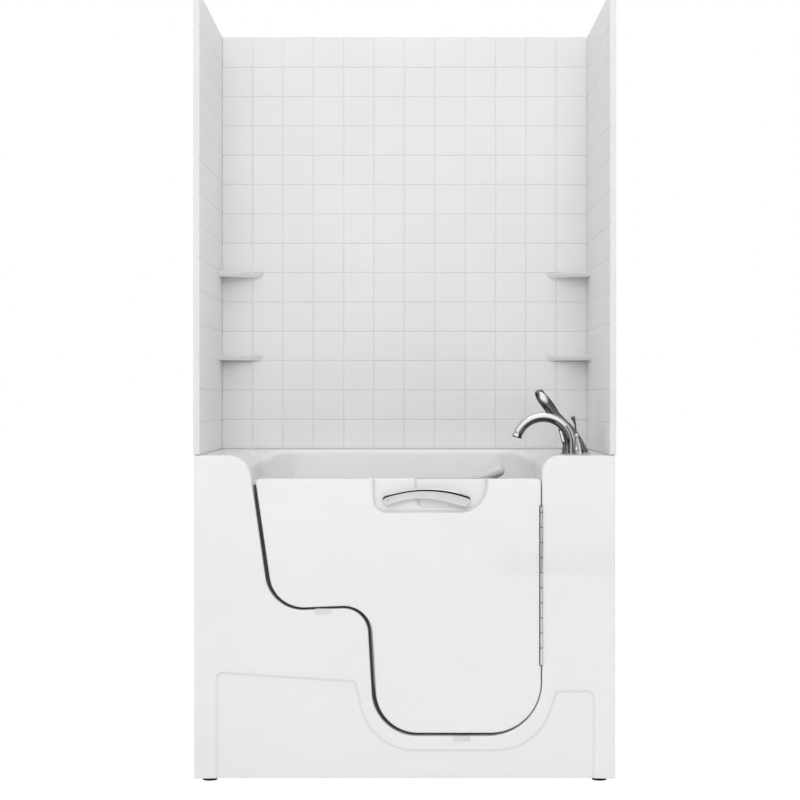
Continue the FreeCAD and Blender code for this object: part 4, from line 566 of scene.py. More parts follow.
doorway = {
    "front": -0.36475, "deck": 1.047, "halfWidth": 0.673, "skirtFoot": 0.014,
    "skirtBack": -0.35275, "linerBack": -0.29075, "linerWall": 8 * mm,
    "jambTop": -0.4955, "jambFoot": -0.424, "stepLeft": 0.5525, "stepRight": 0.5645, "riserTop": -0.115,
    "riserFoot": -0.091, "sill": 0.1545, "hinge": 0.4375,
    "radii": (0.116, 0.086, 0.140, 0.167),  # jamb, step, toe, heel
    "gaps": (0.0128, 0.008, 0.013, 0.0096, 0.003),  # jamb, step, riser, sill, hinge
    "shoulders": (0.070, 0.056), "shoulderEnds": (-0.5784, 0.503),
    "pads": ((-0.286, -0.236, 0.55648), (0.1579, 0.2079, 0.1497)),  # left, right, top
    "padDrop": 17 * mm, "padThick": 2.6 * mm,
}


def doorLine(top, outward):
    # the boot line, moved outwards by one amount for each of its five sides
    d = doorway
    jamb, step, riser, sill, hinge = outward
    mean = sum(outward[:4]) / 4
    slope = (d["jambFoot"] - d["jambTop"]) / (d["deck"] - d["stepLeft"])
    jambR, stepR, toeR, heelR = d["radii"]
    return [
        (d["jambFoot"] - slope * (top - d["stepLeft"]) - jamb, top),
        (d["jambFoot"] - jamb, d["stepLeft"] - step, jambR + mean),
        (d["riserTop"] - riser, d["stepRight"] - step, stepR - mean),
        (d["riserFoot"] - riser, d["sill"] - sill, toeR + mean),
        (d["hinge"] + hinge, d["sill"] - sill, heelR + mean),
        (d["hinge"] + hinge, top),
    ]


def roundEnds(corners, first, last):
    return [(*corners[0], first), *corners[1:-1], (*corners[-1], last)]


def halfGaps(side):
    return [side * gap / 2 for gap in doorway["gaps"]]


def boxLine(left, right, low, high):
    return np.array([(left, low), (right, low), (right, high), (left, high)])


def padSeat(pad, grow=0):
    left, right, top = pad
    return boxLine(left - grow, right + grow, top - doorway["padDrop"] - grow, top + 5 * mm)


def notchLine(line, pad):
    # lowers a run of the line so that a pad can lie in it
    left, right, top = pad
    level, reach = top - doorway["padThick"], 12 * mm
    out = []
    for start, end in zip(line, np.roll(line, -1, axis=0)):
        close, within = abs(start[1] - top) < reach, left < start[0] < right
        out.append((start[0], level) if close and within else tuple(start))
        for stop in (left, right):
            if close and (start[0] - stop) * (end[0] - stop) < 0:
                height = start[1] + (end[1] - start[1]) * (stop - start[0]) / (end[0] - start[0])
                jog = [(stop, height), (stop, level)]
                out += jog[::-1] if within else jog
    return np.array(out)


skirtLook = {
    "slopeDepth": 2.2 * mm, "slope": 22 * mm,  # soft shoulder round the bed
    "coveDepth": 7.4 * mm, "cove": 9 * mm,  # hollow edge inside it
    "ridgeHeight": 0.083, "ridgeHalf": 0.56, "ridgeDepth": 0.5 * mm, "ridgeSoft": 9 * mm,
    "ridgeFade": (20 * mm, 60 * mm),  # from the bed's edge
    "edge": 5 * mm, "sideEdge": 2 * mm,
    "keeperHole": ((0.1764, -0.32325, 0.13), (0.1894, -0.31225, 0.16)),  # the latch rod drops through it
    "bed": [(-0.6045, -0.02), (0.6080, -0.02), (0.6080, 0.295, 0.024), (0.4835, 0.295, 0.018),
            (0.4205, 0.106, 0.180), (-0.1035, 0.106, 0.174), (-0.1567, 0.3266, 0.018),
            (-0.6045, 0.3555, 0.020)],
    # mm outside the bed's edge, or inside it, where the mesh is finer
    "bedLoops": (3, 6, 10, 16, 20, 22, 25, 0, -0.5, -1.5, -3, -5, -7, -8.3, -9, -10.5),
}


def makeSkirt():
    d, look = doorway, skirtLook
    half, deck, wall, foot = d["halfWidth"], d["deck"], d["linerWall"], d["skirtFoot"]
    ridge, soft = look["ridgeHeight"], look["ridgeSoft"]
    mouth = roundEnds(doorLine(deck, halfGaps(1)), *d["shoulders"])
    left, right = (-half, deck), (half, deck)
    endLeft, endRight = d["shoulderEnds"]
    nicks = [[(end + away * mm, deck) for away in pair]
             for end, pair in ((endRight, (0.2, -0.1)), (endLeft, (0.1, -0.2)))]
    corners = [left, (-half, foot), (half, foot), right, *nicks[0], *mouth[::-1], *nicks[1]]
    line = fineLine(roundedLine(corners), 12 * mm)
    above = [(x, z + 0.2) for x, z in (right, left)]
    hole = fineLine(roundedLine([left, *mouth, right, *above]), 12 * mm)
    bed = fineLine(roundedLine(look["bed"]), 10 * mm)
    loops = [insetLine(bed, -offset * mm) for offset in look["bedLoops"]]
    rims = (0.3 * mm, 1.2 * mm, 2.8 * mm, look["edge"], 6.2 * mm, wall, wall + 0.4 * mm)
    loops += [insetLine(line, offset) for offset in rims]
    loops += [boxLine(-look["ridgeHalf"], look["ridgeHalf"], ridge + share * soft, ridge + 9 * mm)
              for share in (-0.5, -0.2, 0.2, 0.5)]
    for pad in d["pads"]:
        line = notchLine(line, pad)
        loops += [padSeat(pad), padSeat(pad, 0.2 * mm)]
    flat, faces = plateFaces(line, loops, 30 * mm)
    inside = depthIn(flat, bed)
    drop = np.clip(1 + inside / look["slope"], 0, 1) ** 1.15 * look["slopeDepth"]
    drop += (1 - (1 - np.clip(inside / look["cove"], 0, 1)) ** 1.6) * look["coveDepth"]
    below = easeIn(ridge - flat[:, 1], -soft / 2, soft / 2)
    drop += easeIn(inside, *look["ridgeFade"]) * below * look["ridgeDepth"]
    edge = depthIn(flat, line)
    fromSide = np.minimum(half - np.abs(flat[:, 0]), flat[:, 1] - foot)
    drop += np.where(fromSide < edge + 0.5 * mm, rimDrop(edge, look["sideEdge"]), rimDrop(edge, look["edge"]))
    for pad in d["pads"]:
        drop = np.where(depthIn(flat, padSeat(pad)) > -0.05 * mm, np.maximum(drop, d["padThick"]), drop)
    atMouth = (flat[:, 0] > endLeft) & (flat[:, 0] < endRight)
    back = np.where((-depthIn(flat, hole) < wall + 0.1 * mm) & atMouth, d["linerBack"], d["skirtBack"])
    solid = plateSolid(flat, faces, d["front"] + drop, back)
    piece = newPiece("skirtPanel", solid, "skirt", "root", node="front_apron")
    cutBox(piece, look["keeperHole"], 50)
    print("skirt made:", len(piece.data.polygons), "faces")


doorLook = {
    "top": 0.972, "corner": 12 * mm, "split": -0.32475, "wall": 4 * mm, "edge": 6 * mm,
    # the mould's draft on the upright edge of the boot, fading out at its low end and its top
    "lean": {"depth": 8 * mm, "band": 25 * mm, "low": (0.24, 0.33), "top": 0.555, "fade": 0.06},
    "recess": {"top": (-0.1055, 0.270), "foot": (-0.096, 0.256, 0.8675), "radii": (0.038, 0.085),
               "depth": 23 * mm, "soft": 10 * mm},
    "scoop": {"top": 0.0255, "foot": (0.0405, 0.8795), "radius": 0.026, "depth": 14 * mm, "soft": 9 * mm},
    # faint lower panel
    "field": {"inset": 58 * mm, "depth": 0.9 * mm, "soft": 16 * mm, "top": 0.84, "fade": 0.08},
    "rebate": {"left": 0.4302, "low": 0.3745, "high": 0.8875, "depth": 14 * mm},  # room beside the hinge
}


def softMask(flat, line, soft):
    return easeIn(depthIn(flat, line), -soft / 2, soft / 2)


def softLoops(line, soft):
    return [insetLine(line, share * soft) for share in (-0.75, -0.5, -0.25, 0, 0.25, 0.5, 0.75)]


def makeDoor():
    d, look = doorway, doorLook
    wall, above = look["wall"], look["top"] + 0.1
    corners = roundEnds(doorLine(look["top"], halfGaps(-1)), look["corner"], look["corner"])
    line = fineLine(roundedLine(corners, 2.5 * mm), 10 * mm)
    hollow, scoop, field, rebate = look["recess"], look["scoop"], look["field"], look["rebate"]
    (topLeft, topRight), (footLeft, footRight, foot) = hollow["top"], hollow["foot"]
    pocket = fineLine(roundedLine([
        (topLeft, above), (footLeft, foot, hollow["radii"][0]), (footRight, foot, hollow["radii"][1]),
        (topRight, above)]), 8 * mm)
    deeper = fineLine(roundedLine([
        (scoop["top"], above), (*scoop["foot"], scoop["radius"]), (topRight + 0.03, scoop["foot"][1]),
        (topRight + 0.03, above)]), 8 * mm)
    panel = insetLine(line, field["inset"])
    slot = boxLine(rebate["left"], d["hinge"], rebate["low"], rebate["high"])
    rims = (0.35 * mm, 1.4 * mm, 3.2 * mm, wall, wall + 0.3 * mm, look["edge"], 7.5 * mm)
    loops = [insetLine(line, offset) for offset in rims]
    for shape, spec in ((pocket, hollow), (deeper, scoop), (panel, field)):
        loops += softLoops(shape, spec["soft"])
    loops += [slot, insetLine(slot, -0.25 * mm), insetLine(slot, -1.2 * mm)]
    flat, faces = plateFaces(line, loops, 20 * mm)
    x, z = flat.T
    edge = depthIn(flat, line)
    inScoop = softMask(flat, deeper, scoop["soft"])
    drop = softMask(flat, pocket, hollow["soft"]) * (hollow["depth"] + inScoop * scoop["depth"])
    below = easeIn(field["top"] - z, 0, field["fade"])
    drop += softMask(flat, panel, field["soft"]) * below * field["depth"]
    inSlot = depthIn(flat, slot) > -0.1 * mm
    front = d["front"] + drop + np.where(inSlot, rebate["depth"], rimDrop(edge, look["edge"]))
    rim = edge < wall + 0.1 * mm
    back = np.where(rim, look["split"], front - rimDrop(edge, look["edge"]) + wall)
    share = (d["stepRight"] - z) / (d["stepRight"] - d["sill"])
    riserX = d["riserTop"] + (d["riserFoot"] - d["riserTop"]) * share
    draft = look["lean"]
    onRiser = (np.abs(x - riserX) < draft["band"]) & rim
    reach = easeIn(z, *draft["low"]) * easeIn(draft["top"] - z, 0, draft["fade"])
    lean = np.stack([-draft["depth"] * reach * onRiser, np.zeros(len(flat))], axis=1)
    solid = plateSolid(flat, faces, front, back, lean)
    piece = newPiece("doorSkin", solid, "skirt", "door", node="door_outer_panel")
    print("door skin made:", len(piece.data.polygons), "faces")


flapLook = {
    "reach": (10.2 * mm, 6.0 * mm, 10.2 * mm, 7.4 * mm, 0.1 * mm),  # how far the lip stands out of the door
    "inner": 1.2 * mm, "top": 0.952, "front": -0.3335, "back": -0.3252,
}


def makeFlap():
    # soft lip of the door seal, seen as the dark line round the door
    look = flapLook
    front, back = look["front"], look["back"]
    lines = []
    for share in (1.0, 0.9, 0.35, -1.0):
        outward = [gap + (share * reach if share > 0 else -look["inner"])
                   for gap, reach in zip(halfGaps(-1), look["reach"])]
        lines.append(roundedLine(doorLine(look["top"], outward), arcSteps=14))
    faceY = (front - 1.6 * mm, front - 1.8 * mm, front, front + 1 * mm)
    rearY = (front, front + 1.4 * mm, back, back)
    ring = [*zip(lines, faceY), *zip(lines[::-1], rearY[::-1])]
    count = len(lines[0])
    verts = [(line[k][0], y, line[k][1]) for k in range(count) for line, y in ring]
    newPiece("sealLip", (verts, tubeFaces(count, len(ring))), "seal", "door")


makeSkirt()
makeDoor()
makeFlap()


# pull handle

pullLook = {
    # x, z and half height of the bar, in mm
    "bar": [(-58, 902.5, 17.2), (-50, 905.5, 17.2), (-19, 914, 16.0), (11.5, 920.4, 15.6), (48, 923.6, 16.2),
            (85, 923.0, 17.4), (134, 916.6, 19.4), (164, 909.6, 20.4), (197, 900.4, 19.6)],
    "line": (9, 10),  # section sides that carry the painted dark reflection line
    "setback": 5 * mm, "endRound": 13.5 * mm, "post": 7 * mm, "postEnd": -0.3405,
    "flare": ((-4.0, 1), (-1.5, 1.12), (0, 1.5)),  # foot of a post: mm from its end, share of its radius
    "plug": ((8.4, 3.4), (9.2, 3.4), (9.5, 2.8)), "plugDrop": 1 * mm,  # depth and radius in mm
    # section from the bottom round the front to the top: depth in mm, share of the half height
    "section": [(5.0, -0.90), (1.0, -0.98), (-3.2, -1.0), (-6.6, -0.93), (-8.3, -0.78), (-8.8, -0.55),
                (-9.0, 0.0), (-8.9, 0.38), (-8.5, 0.48), (-7.9, 0.53), (-5.2, 0.78), (-4.4, 0.85),
                (-2.2, 0.95), (0.6, 1.0), (3.6, 0.96), (6.2, 0.80), (7.6, 0.5), (8.0, 0.0), (7.4, -0.6),
                (6.4, -0.80)],
    # rounded ends: share of endRound, share of the section
    "rounds": ((0.99, 0.12), (0.93, 0.36), (0.8, 0.6), (0.62, 0.78), (0.42, 0.9), (0.2, 0.98)),
}


def makePull():
    look = pullLook
    y, end = doorway["front"] + look["setback"], look["postEnd"]
    curve = smoothPath(np.array(look["bar"]) * mm, 60)
    path, sections = [], []

    def addStation(x, z, tall, shrink):
        path.append((x, y, z))
        flat, short = mm * shrink ** 0.7, tall * shrink
        sections.append([(depth * flat, share * short) for depth, share in look["section"]])

    def addEnd(point, inner, order):
        away = (point - inner)[:2] / np.linalg.norm((point - inner)[:2])
        for run, shrink in order:
            addStation(*(point[:2] + away * look["endRound"] * run), point[2], shrink)

    addEnd(curve[0], curve[1], look["rounds"])
    for x, z, tall in curve:
        addStation(x, z, tall, 1.0)
    addEnd(curve[-1], curve[-2], look["rounds"][::-1])
    parts = [sweepSections(path, sections)]
    for x, z, _ in (curve[2], curve[-3]):
        post = [(x, y, z), *((x, end + run * mm, z) for run, _ in look["flare"])]
        sizes = [look["post"] * share for share in (1, *(share for _, share in look["flare"]))]
        parts.append(sweepSections(post, [oval(r, r, 2, 24) for r in sizes], (1, 0, 0)))
    piece = newPiece("pullHandle", mergeMeshes(*parts), "pull", "door", sharp=60, node="door_handle")
    for finish in ("pullPaintedLine", "pullEnd"):
        piece.data.materials.append(finishes[finish])
    sides = len(look["section"])
    for face in piece.data.polygons[:sides * (len(path) - 1)]:
        station, side = divmod(face.index, sides)
        onBar = 3 < station < len(path) - 6
        # painted reflection: the sides in the line entry take a near-black finish, a dark reflection line
        # along the bar
        dark = side in look["line"] and 1 < station < len(path) - 3
        face.material_index = 1 if dark else 0 if onBar else 2
    x, z, _ = curve[1]
    plug = [(x, y - depth * mm, z - look["plugDrop"]) for depth, _ in look["plug"]]
    rings = [oval(r * mm, r * mm, 2, 20) for _, r in look["plug"]]
    newPiece("pullPlug", sweepSections(plug, rings, (1, 0, 0)), "chrome", "door", sharp=40)


makePull()
print("pull handle made")


# tile pattern surround and corner shelves

tileLook = {
    "width": 0.1095, "height": 0.1057, "shift": (-1.4 * mm, -4 * mm),
    "columns": 12, "rows": 14, "sideColumns": 6, "edge": 3 * mm,
    "groove": 2.0 * mm, "depth": 1.9 * mm, "sideDepth": 0.6 * mm, "crown": 0.45 * mm, "crownRun": 9 * mm,
    "cornerGap": (1.0 * mm, 3.0 * mm),  # open joint where the back meets the sides: width, depth
    # mm from a joint and from an end where the mesh is finer
    "jointStops": (0, 0.5, 1.1, 1.8, 2.6, 5, 9), "endStops": (0, 1, 1.12, 1.7, 3),
}


def gridStops(low, high, joints):
    stops = {(a + b) / 2 for a, b in zip(joints, joints[1:])}
    stops |= {end + side * gap * mm for end, side in ((low, 1), (high, -1)) for gap in tileLook["endStops"]}
    near = [side * gap * mm for gap in tileLook["jointStops"] for side in (-1, 1)]
    stops |= {joint + gap for joint in joints for gap in near}
    return np.array(sorted(s for s in stops if low <= s <= high))


def nearest(stops, joints):
    return np.min(np.abs(stops[:, None] - np.array(joints)[None, :]), axis=1)


def tileSlab(uEnds, vEnds, uJoints, vJoints, place, back, plain=False):
    # pressed sheet: place(u, v, drop) gives a face point, back(u, v) the point behind it;
    # a plain one has shallow upright joints and a rounded front edge
    look = tileLook
    uStops, vStops = gridStops(*uEnds, uJoints), gridStops(*vEnds, vJoints)
    across, upright = nearest(uStops, uJoints), nearest(vStops, vJoints)
    sideways = (look["sideDepth"] if plain else look["depth"]) * (1 - easeIn(across, 0, look["groove"]))
    drop = np.maximum(sideways[:, None], look["depth"] * (1 - easeIn(upright, 0, look["groove"]))[None, :])
    gap = np.minimum(across[:, None] + plain, upright[None, :])
    drop += look["crown"] * np.clip(1 - gap / look["crownRun"], 0, 1) ** 2
    fromFront = uStops - uStops[0] + (not plain)
    drop += rimDrop(np.minimum(fromFront[:, None], (vStops[-1] - vStops)[None, :]), look["edge"])
    if not plain:
        width, depth = look["cornerGap"]
        drop[np.minimum(uStops - uStops[0], uStops[-1] - uStops) < width + 0.05 * mm] += depth
    rows, columns = len(uStops), len(vStops)
    verts = [place(u, v, drop[i, j]) for i, u in enumerate(uStops) for j, v in enumerate(vStops)]
    faces = [(a, a + 1, a + columns + 1, a + columns)
             for i in range(rows - 1) for a in range(i * columns, i * columns + columns - 1)]
    rim = [i * columns for i in range(rows)]
    rim += [(rows - 1) * columns + j for j in range(1, columns)]
    rim += [i * columns + columns - 1 for i in range(rows - 2, -1, -1)]
    rim += list(range(columns - 2, 0, -1))
    first, count = len(verts), len(rim)
    verts += [back(uStops[k // columns], vStops[k % columns]) for k in rim]
    faces += [(rim[k], rim[(k + 1) % count], first + (k + 1) % count, first + k) for k in range(count)]
    return verts, faces + [tuple(range(first, first + count))]


def makeTiles():
    look = tileLook
    low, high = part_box("surround_back_panel")
    face, rear = low[1], high[1]
    shiftX, shiftZ = look["shift"]
    upright = [low[2] + look["height"] * k + shiftZ for k in range(1, look["rows"])]
    joints = [look["width"] * (k - look["columns"] / 2) + shiftX for k in range(1, look["columns"])]
    slab = tileSlab((low[0], high[0]), (low[2], high[2]), joints, upright,
                    lambda u, v, drop: (u, face + drop, v), lambda u, v: (u, rear, v))
    newPiece("backTiles", slab, "tile", "root", 60, "surround_back_panel")
    for side, sign in (("left", -1), ("right", 1)):
        node = f"surround_{side}_panel"
        low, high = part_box(node)
        inner, outer = (high[0], low[0]) if sign < 0 else (low[0], high[0])
        joints = [face - look["width"] * k for k in range(1, look["sideColumns"] + 1)]
        joints = sorted(j for j in joints if j > low[1] + 4 * mm)
        slab = tileSlab((low[1], high[1]), (low[2], high[2]), joints, upright,
                        lambda u, v, drop: (inner + sign * drop, u, v), lambda u, v: (outer, u, v), True)
        piece = newPiece(f"{side}Tiles", slab, "sideTile", "root", 60, node)
        piece.data.materials.append(finishes["edgeStrip"])
        # painted shade: the front-facing faces of the side panels take the darker edge strip copy of the
        # white
        for polygon in piece.data.polygons:
            polygon.material_index = int(polygon.normal.y < -0.7)


shelfLook = {"slant": 9 * mm, "face": 0.3, "round": 1.5 * mm, "dish": 2.0 * mm, "dishInset": 12 * mm}


def makeShelf(side, level):
    look = shelfLook
    node = f"shelf_{side}_{level}"
    low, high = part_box(node)
    wall, end = (low[0], high[0]) if side == "left" else (high[0], low[0])
    corner, onSide, onBack = np.array([(wall, high[1]), (wall, low[1]), (end, high[1])])
    run = (onBack - onSide) / np.linalg.norm(onBack - onSide)
    inward = np.array([-run[1], run[0]])
    inward *= np.sign((corner - onSide) @ inward)
    tool = bmesh.new()

    def addRing(inset, height):
        # the front edge moved towards the corner, kept against both walls
        shift = onSide + inward * inset
        ends = [shift + run * ((spot[k] - shift[k]) / run[k]) for k, spot in enumerate((onSide, onBack))]
        return [tool.verts.new((x, y, height)) for x, y in (corner, *ends)]

    fold = high[2] - look["face"] * (high[2] - low[2])
    rings = [addRing(look["slant"], low[2]), addRing(0, fold), addRing(0, high[2])]
    for below, over in zip(rings, rings[1:]):
        for k in range(3):
            n = (k + 1) % 3
            tool.faces.new((below[k], below[n], over[n], over[k]))
    tool.faces.new(rings[0][::-1])
    top = tool.faces.new(rings[-1])
    bmesh.ops.inset_region(tool, faces=[top], thickness=look["dishInset"])
    bmesh.ops.translate(tool, verts=list(top.verts), vec=(0, 0, -look["dish"]))
    atFront = {v for v in tool.verts if abs((np.array(v.co[:2]) - onSide) @ inward) < look["slant"] + 1e-4}
    edges = {e for e in tool.edges
             if atFront.issuperset(e.verts) and abs(e.verts[0].co.z - e.verts[1].co.z) < 1e-5}
    bmesh.ops.bevel(tool, geom=list(edges | set(top.edges)), offset=look["round"], segments=4, profile=0.5,
                    affect="EDGES", clamp_overlap=True)
    bmesh.ops.recalc_face_normals(tool, faces=tool.faces)
    mesh = bpy.data.meshes.new(f"{side}{level.title()}Shelf")
    tool.to_mesh(mesh)
    tool.free()
    placePiece(mesh, "shelf", "root", 40, node)


makeTiles()
for side in ("left", "right"):
    for level in ("low", "high"):
        makeShelf(side, level)
print("surround and shelves made")


# tub moulding: deck, basin with its seat, and the ring the door closes on

basinLook = {
    "rear": 0.37225, "doorwayEdge": -0.2905, "left": -0.503, "right": 0.445, "back": 0.26425,
    "frontOpen": -0.6, "corner": 0.160, "roll": (70 * mm, 56 * mm, 20 * mm),  # left side, right side, back
    "rollRun": ((0.43, 0.52), (0.38, 0.46)),  # where the sides' roll begins and is whole
    "draft": 3 * mm, "cove": 25 * mm, "wall": 7 * mm,
    "seat": 0.56, "floor": 0.14, "seatFront": -0.095, "nose": 18 * mm,
    # for the drain, air button, taps and hand shower: x, y, radius
    "holes": [(0.33, -0.00925, 25.6 * mm), (0.575, 0.20025, 21.6 * mm), (0.5405, -0.26975, 16.2 * mm),
              (0.526, -0.20175, 14.6 * mm), (0.582, -0.03475, 14.6 * mm), (0.584, 0.06525, 14.6 * mm),
              (0.6005, -0.12975, 14.6 * mm)],
    "ringTop": 0.955, "ringLap": 25 * mm, "ringLip": 34 * mm, "ringBack": -0.28275, "ringEdge": 3 * mm,
    "ringEnd": 33 * mm,
    # where the mesh is finer: shares of the roll, mm inside the rim, mm past the seat's front
    "rollLoops": (1.0, 0.9, 0.8, 0.7, 0.6, 0.5, 0.4, 0.3, 0.21, 0.13, 0.07, 0.03),
    "rimLoops": (0, 3, 4, 6.5, 11, 17, 23, 28),
    "seatLoops": ((-18, -16), (-12, -7), (-3, -0.8), (0, 3), (4, 6.5), (11, 17), (23, 28)),
}


def rollDrop(run, radius):
    return radius - np.sqrt(np.maximum(radius ** 2 - np.clip(run, 0, radius) ** 2, 0))


def coveRise(run, radius):
    return rollDrop(radius - run, radius)


def rollAt(spots):
    # the rim rolls over widely at the sides and tighter at the back
    left, right, back = basinLook["roll"]
    leftRun, rightRun = basinLook["rollRun"]
    wide = (left - back) * easeIn(-spots[:, 0], *leftRun) + (right - back) * easeIn(spots[:, 0], *rightRun)
    return back + wide


def bowlHeight(flat, rim):
    look, deck = basinLook, doorway["deck"]
    seat, nose, floor, cove, draft = (look[key] for key in ("seat", "nose", "floor", "cove", "draft"))
    roll = rollAt(flat)
    past = flat[:, 0] - look["seatFront"]
    high, low = seat - nose, floor + cove
    riser = high + (low - high) * np.clip(past / draft, 0, 1)
    ground = np.where(past < 0, seat - rollDrop(past + nose, nose), riser)
    ground = np.where(past > draft, floor + coveRise(past - draft, cove), ground)
    inside = depthIn(flat, rim)
    wall = deck - roll + (ground + cove - deck + roll) * np.clip(inside / draft, 0, 1)
    height = np.where(inside < 0, deck - rollDrop(inside + roll, roll), wall)
    return np.where(inside > draft, ground + coveRise(inside - draft, cove), height)


def thickSheet(verts, faces, thickness):
    # gives a sheet a second skin behind it and closes the edges
    mesh = bpy.data.meshes.new("sheet")
    mesh.from_pydata(verts, [], faces)
    normals = np.array([tuple(v.normal) for v in mesh.vertices])
    bpy.data.meshes.remove(mesh)
    verts = np.array(verts)
    return np.concatenate([verts, verts - normals * thickness]), twoSkins(faces, len(verts))


def makeBasin():
    look, d = basinLook, doorway
    half, (endLeft, endRight) = d["halfWidth"], d["shoulderEnds"]
    front, edge, rear = d["skirtBack"], look["doorwayEdge"], look["rear"]
    left, right, back, corner = look["left"], look["right"], look["back"], look["corner"]
    deck = [(-half, front), (endLeft, front), (endLeft, edge), (endRight, edge), (endRight, front),
            (half, front), (half, rear), (-half, rear)]
    line = fineLine(np.array(deck), 20 * mm)
    rim = fineLine(roundedLine([(left, look["frontOpen"]), (right, look["frontOpen"]), (right, back, corner),
                                (left, back, corner)]), 20 * mm)
    loops = [insetLine(rim, -rollAt(rim)[:, None] * share) for share in look["rollLoops"]]
    loops += [insetLine(rim, inward * mm) for inward in look["rimLoops"]]
    step = look["seatFront"]
    loops += [boxLine(step + a * mm, step + b * mm, edge - 20 * mm, back - 1 * mm)
              for a, b in look["seatLoops"]]
    loops += [oval(radius, radius) + (x, y) for x, y, radius in look["holes"]]
    flat, faces = plateFaces(line, loops, 40 * mm)
    middles = np.array([flat[list(f)].mean(axis=0) for f in faces])
    solid = np.ones(len(faces), bool)
    for x, y, radius in look["holes"]:
        solid &= np.hypot(middles[:, 0] - x, middles[:, 1] - y) > radius * 0.99
    used, faces = renumber([f for f, keep in zip(faces, solid) if keep])
    flat = flat[used]
    bowl = thickSheet([(x, y, z) for (x, y), z in zip(flat, bowlHeight(flat, rim))], faces, look["wall"])
    outer, inner = (doorLine(look["ringTop"], [lap] * 5) for lap in (look["ringLap"], -look["ringLip"]))
    inner = roundEnds(inner, look["ringEnd"], look["ringEnd"])
    ringLine = fineLine(roundedLine(outer + inner[::-1]), 15 * mm)
    ringLoops = [insetLine(ringLine, share * look["ringEdge"]) for share in (0.1, 0.4, 1)]
    ringFlat, ringFaces = plateFaces(ringLine, ringLoops, 60 * mm)
    ease = rimDrop(depthIn(ringFlat, ringLine), look["ringEdge"])
    ring = plateSolid(ringFlat, ringFaces, d["linerBack"] + ease, np.full(len(ringFlat), look["ringBack"]))
    whole = mergeMeshes(bowl, ring)
    piece = newPiece("tubMoulding", whole, "acrylic", "root", 40, "tub_shell")
    print("tub moulding made:", len(piece.data.polygons), "faces")


makeBasin()


# taps, hand shower and latch grip

deckTop = doorway["deck"]
tapSpots = {"spout": (0.5405, -0.26975), "hot": (0.526, -0.20175), "cold": (0.582, -0.03475),
            "diverter": (0.584, 0.06525), "shower": (0.6005, -0.12975), "button": (0.575, 0.20025)}


def turned(profile, spot, level=deckTop, closed=True, sides=56):
    # profile: radius and height over level in mm
    rows = [(radius * mm, height * mm) for radius, height in profile]
    return lathe(rows + rows[:1] if closed else rows, (*spot, level), sides)


def ballAt(ball, y, level):
    # ball: x, height over level and radius in mm
    x, z, size = ball
    rows = [(size * math.sin(t), -size * math.cos(t)) for t in np.linspace(0, math.pi, 17)]
    rows[0], rows[-1] = (0, -size), (0, size)
    return turned(rows, (x * mm, y), level + z * mm, closed=False, sides=32)


def roundedBar(rows, count, power, sides, tip, rounds, flat=0.0):
    # a bar of count sections through (x, y, z, half height, half depth) rows;
    # rounds close its tip: share of tip, share of the section; flat is how much height is kept
    curve = smoothPath(rows, count)
    path = [point[:3] for point in curve]
    sections = [oval(deep, tall, power, sides) for *_, tall, deep in curve]
    *end, tall, deep = curve[-1]
    along = path[-1] - path[-2]
    along /= np.linalg.norm(along)
    for run, share in rounds:
        path.append(end + along * tip * run)
        sections.append(oval(deep * share, tall * (flat + (1 - flat) * share), power, sides))
    return curve, path, sections


spoutLook = {
    "spring": 1.078, "radius": 0.090, "sweep": 164, "foot": 0.985, "footStep": 0.0155, "footSteps": 6,
    "tube": (15.2 * mm, 15.6 * mm, 14.6 * mm),  # foot, crown, tip
    "collar": 16.2 * mm, "sides": 36,
    "mouth": [(0.6, 15.8), (0.9, 15.0), (0.6, 14.2), (-4.0, 13.6)],  # along, radius in mm
    "aerator": [(-3.8, 13.2), (-2.2, 13.2), (-1.6, 12.0), (-1.9, 4.0)],
}


def makeSpout():
    look = spoutLook
    x, y = tapSpots["spout"]
    bend, steps = look["radius"], look["footSteps"]
    path = [np.array((x, y, look["foot"] + k * look["footStep"])) for k in range(steps)]
    turns = np.linspace(0, math.radians(look["sweep"]), 60)
    path += [np.array((x - bend + bend * math.cos(t), y, look["spring"] + bend * math.sin(t))) for t in turns]
    tangents = [(0, 0, 1)] * steps + [(-math.sin(t), 0, math.cos(t)) for t in turns]
    along = np.array(tangents[-1])
    sizes = np.interp(np.linspace(0, 1, len(path)), (0, 0.5, 1), look["tube"])
    sizes[-2:] = look["collar"]

    def addTip(path, sizes, tangents, rows):
        path = path + [tip + along * run * mm for run, _ in rows]
        rings = [oval(size, size, 2, look["sides"]) for size in (*sizes, *(size * mm for _, size in rows))]
        return sweepSections(path, rings, tangents=tangents + [along] * len(rows))

    tip = path[-1]
    newPiece("spoutTube", addTip(path, sizes, tangents, look["mouth"]), "spout", node="spout")
    newPiece("spoutAerator", addTip([], [], [], look["aerator"]), "steel", sharp=40, node="spout_aerator")


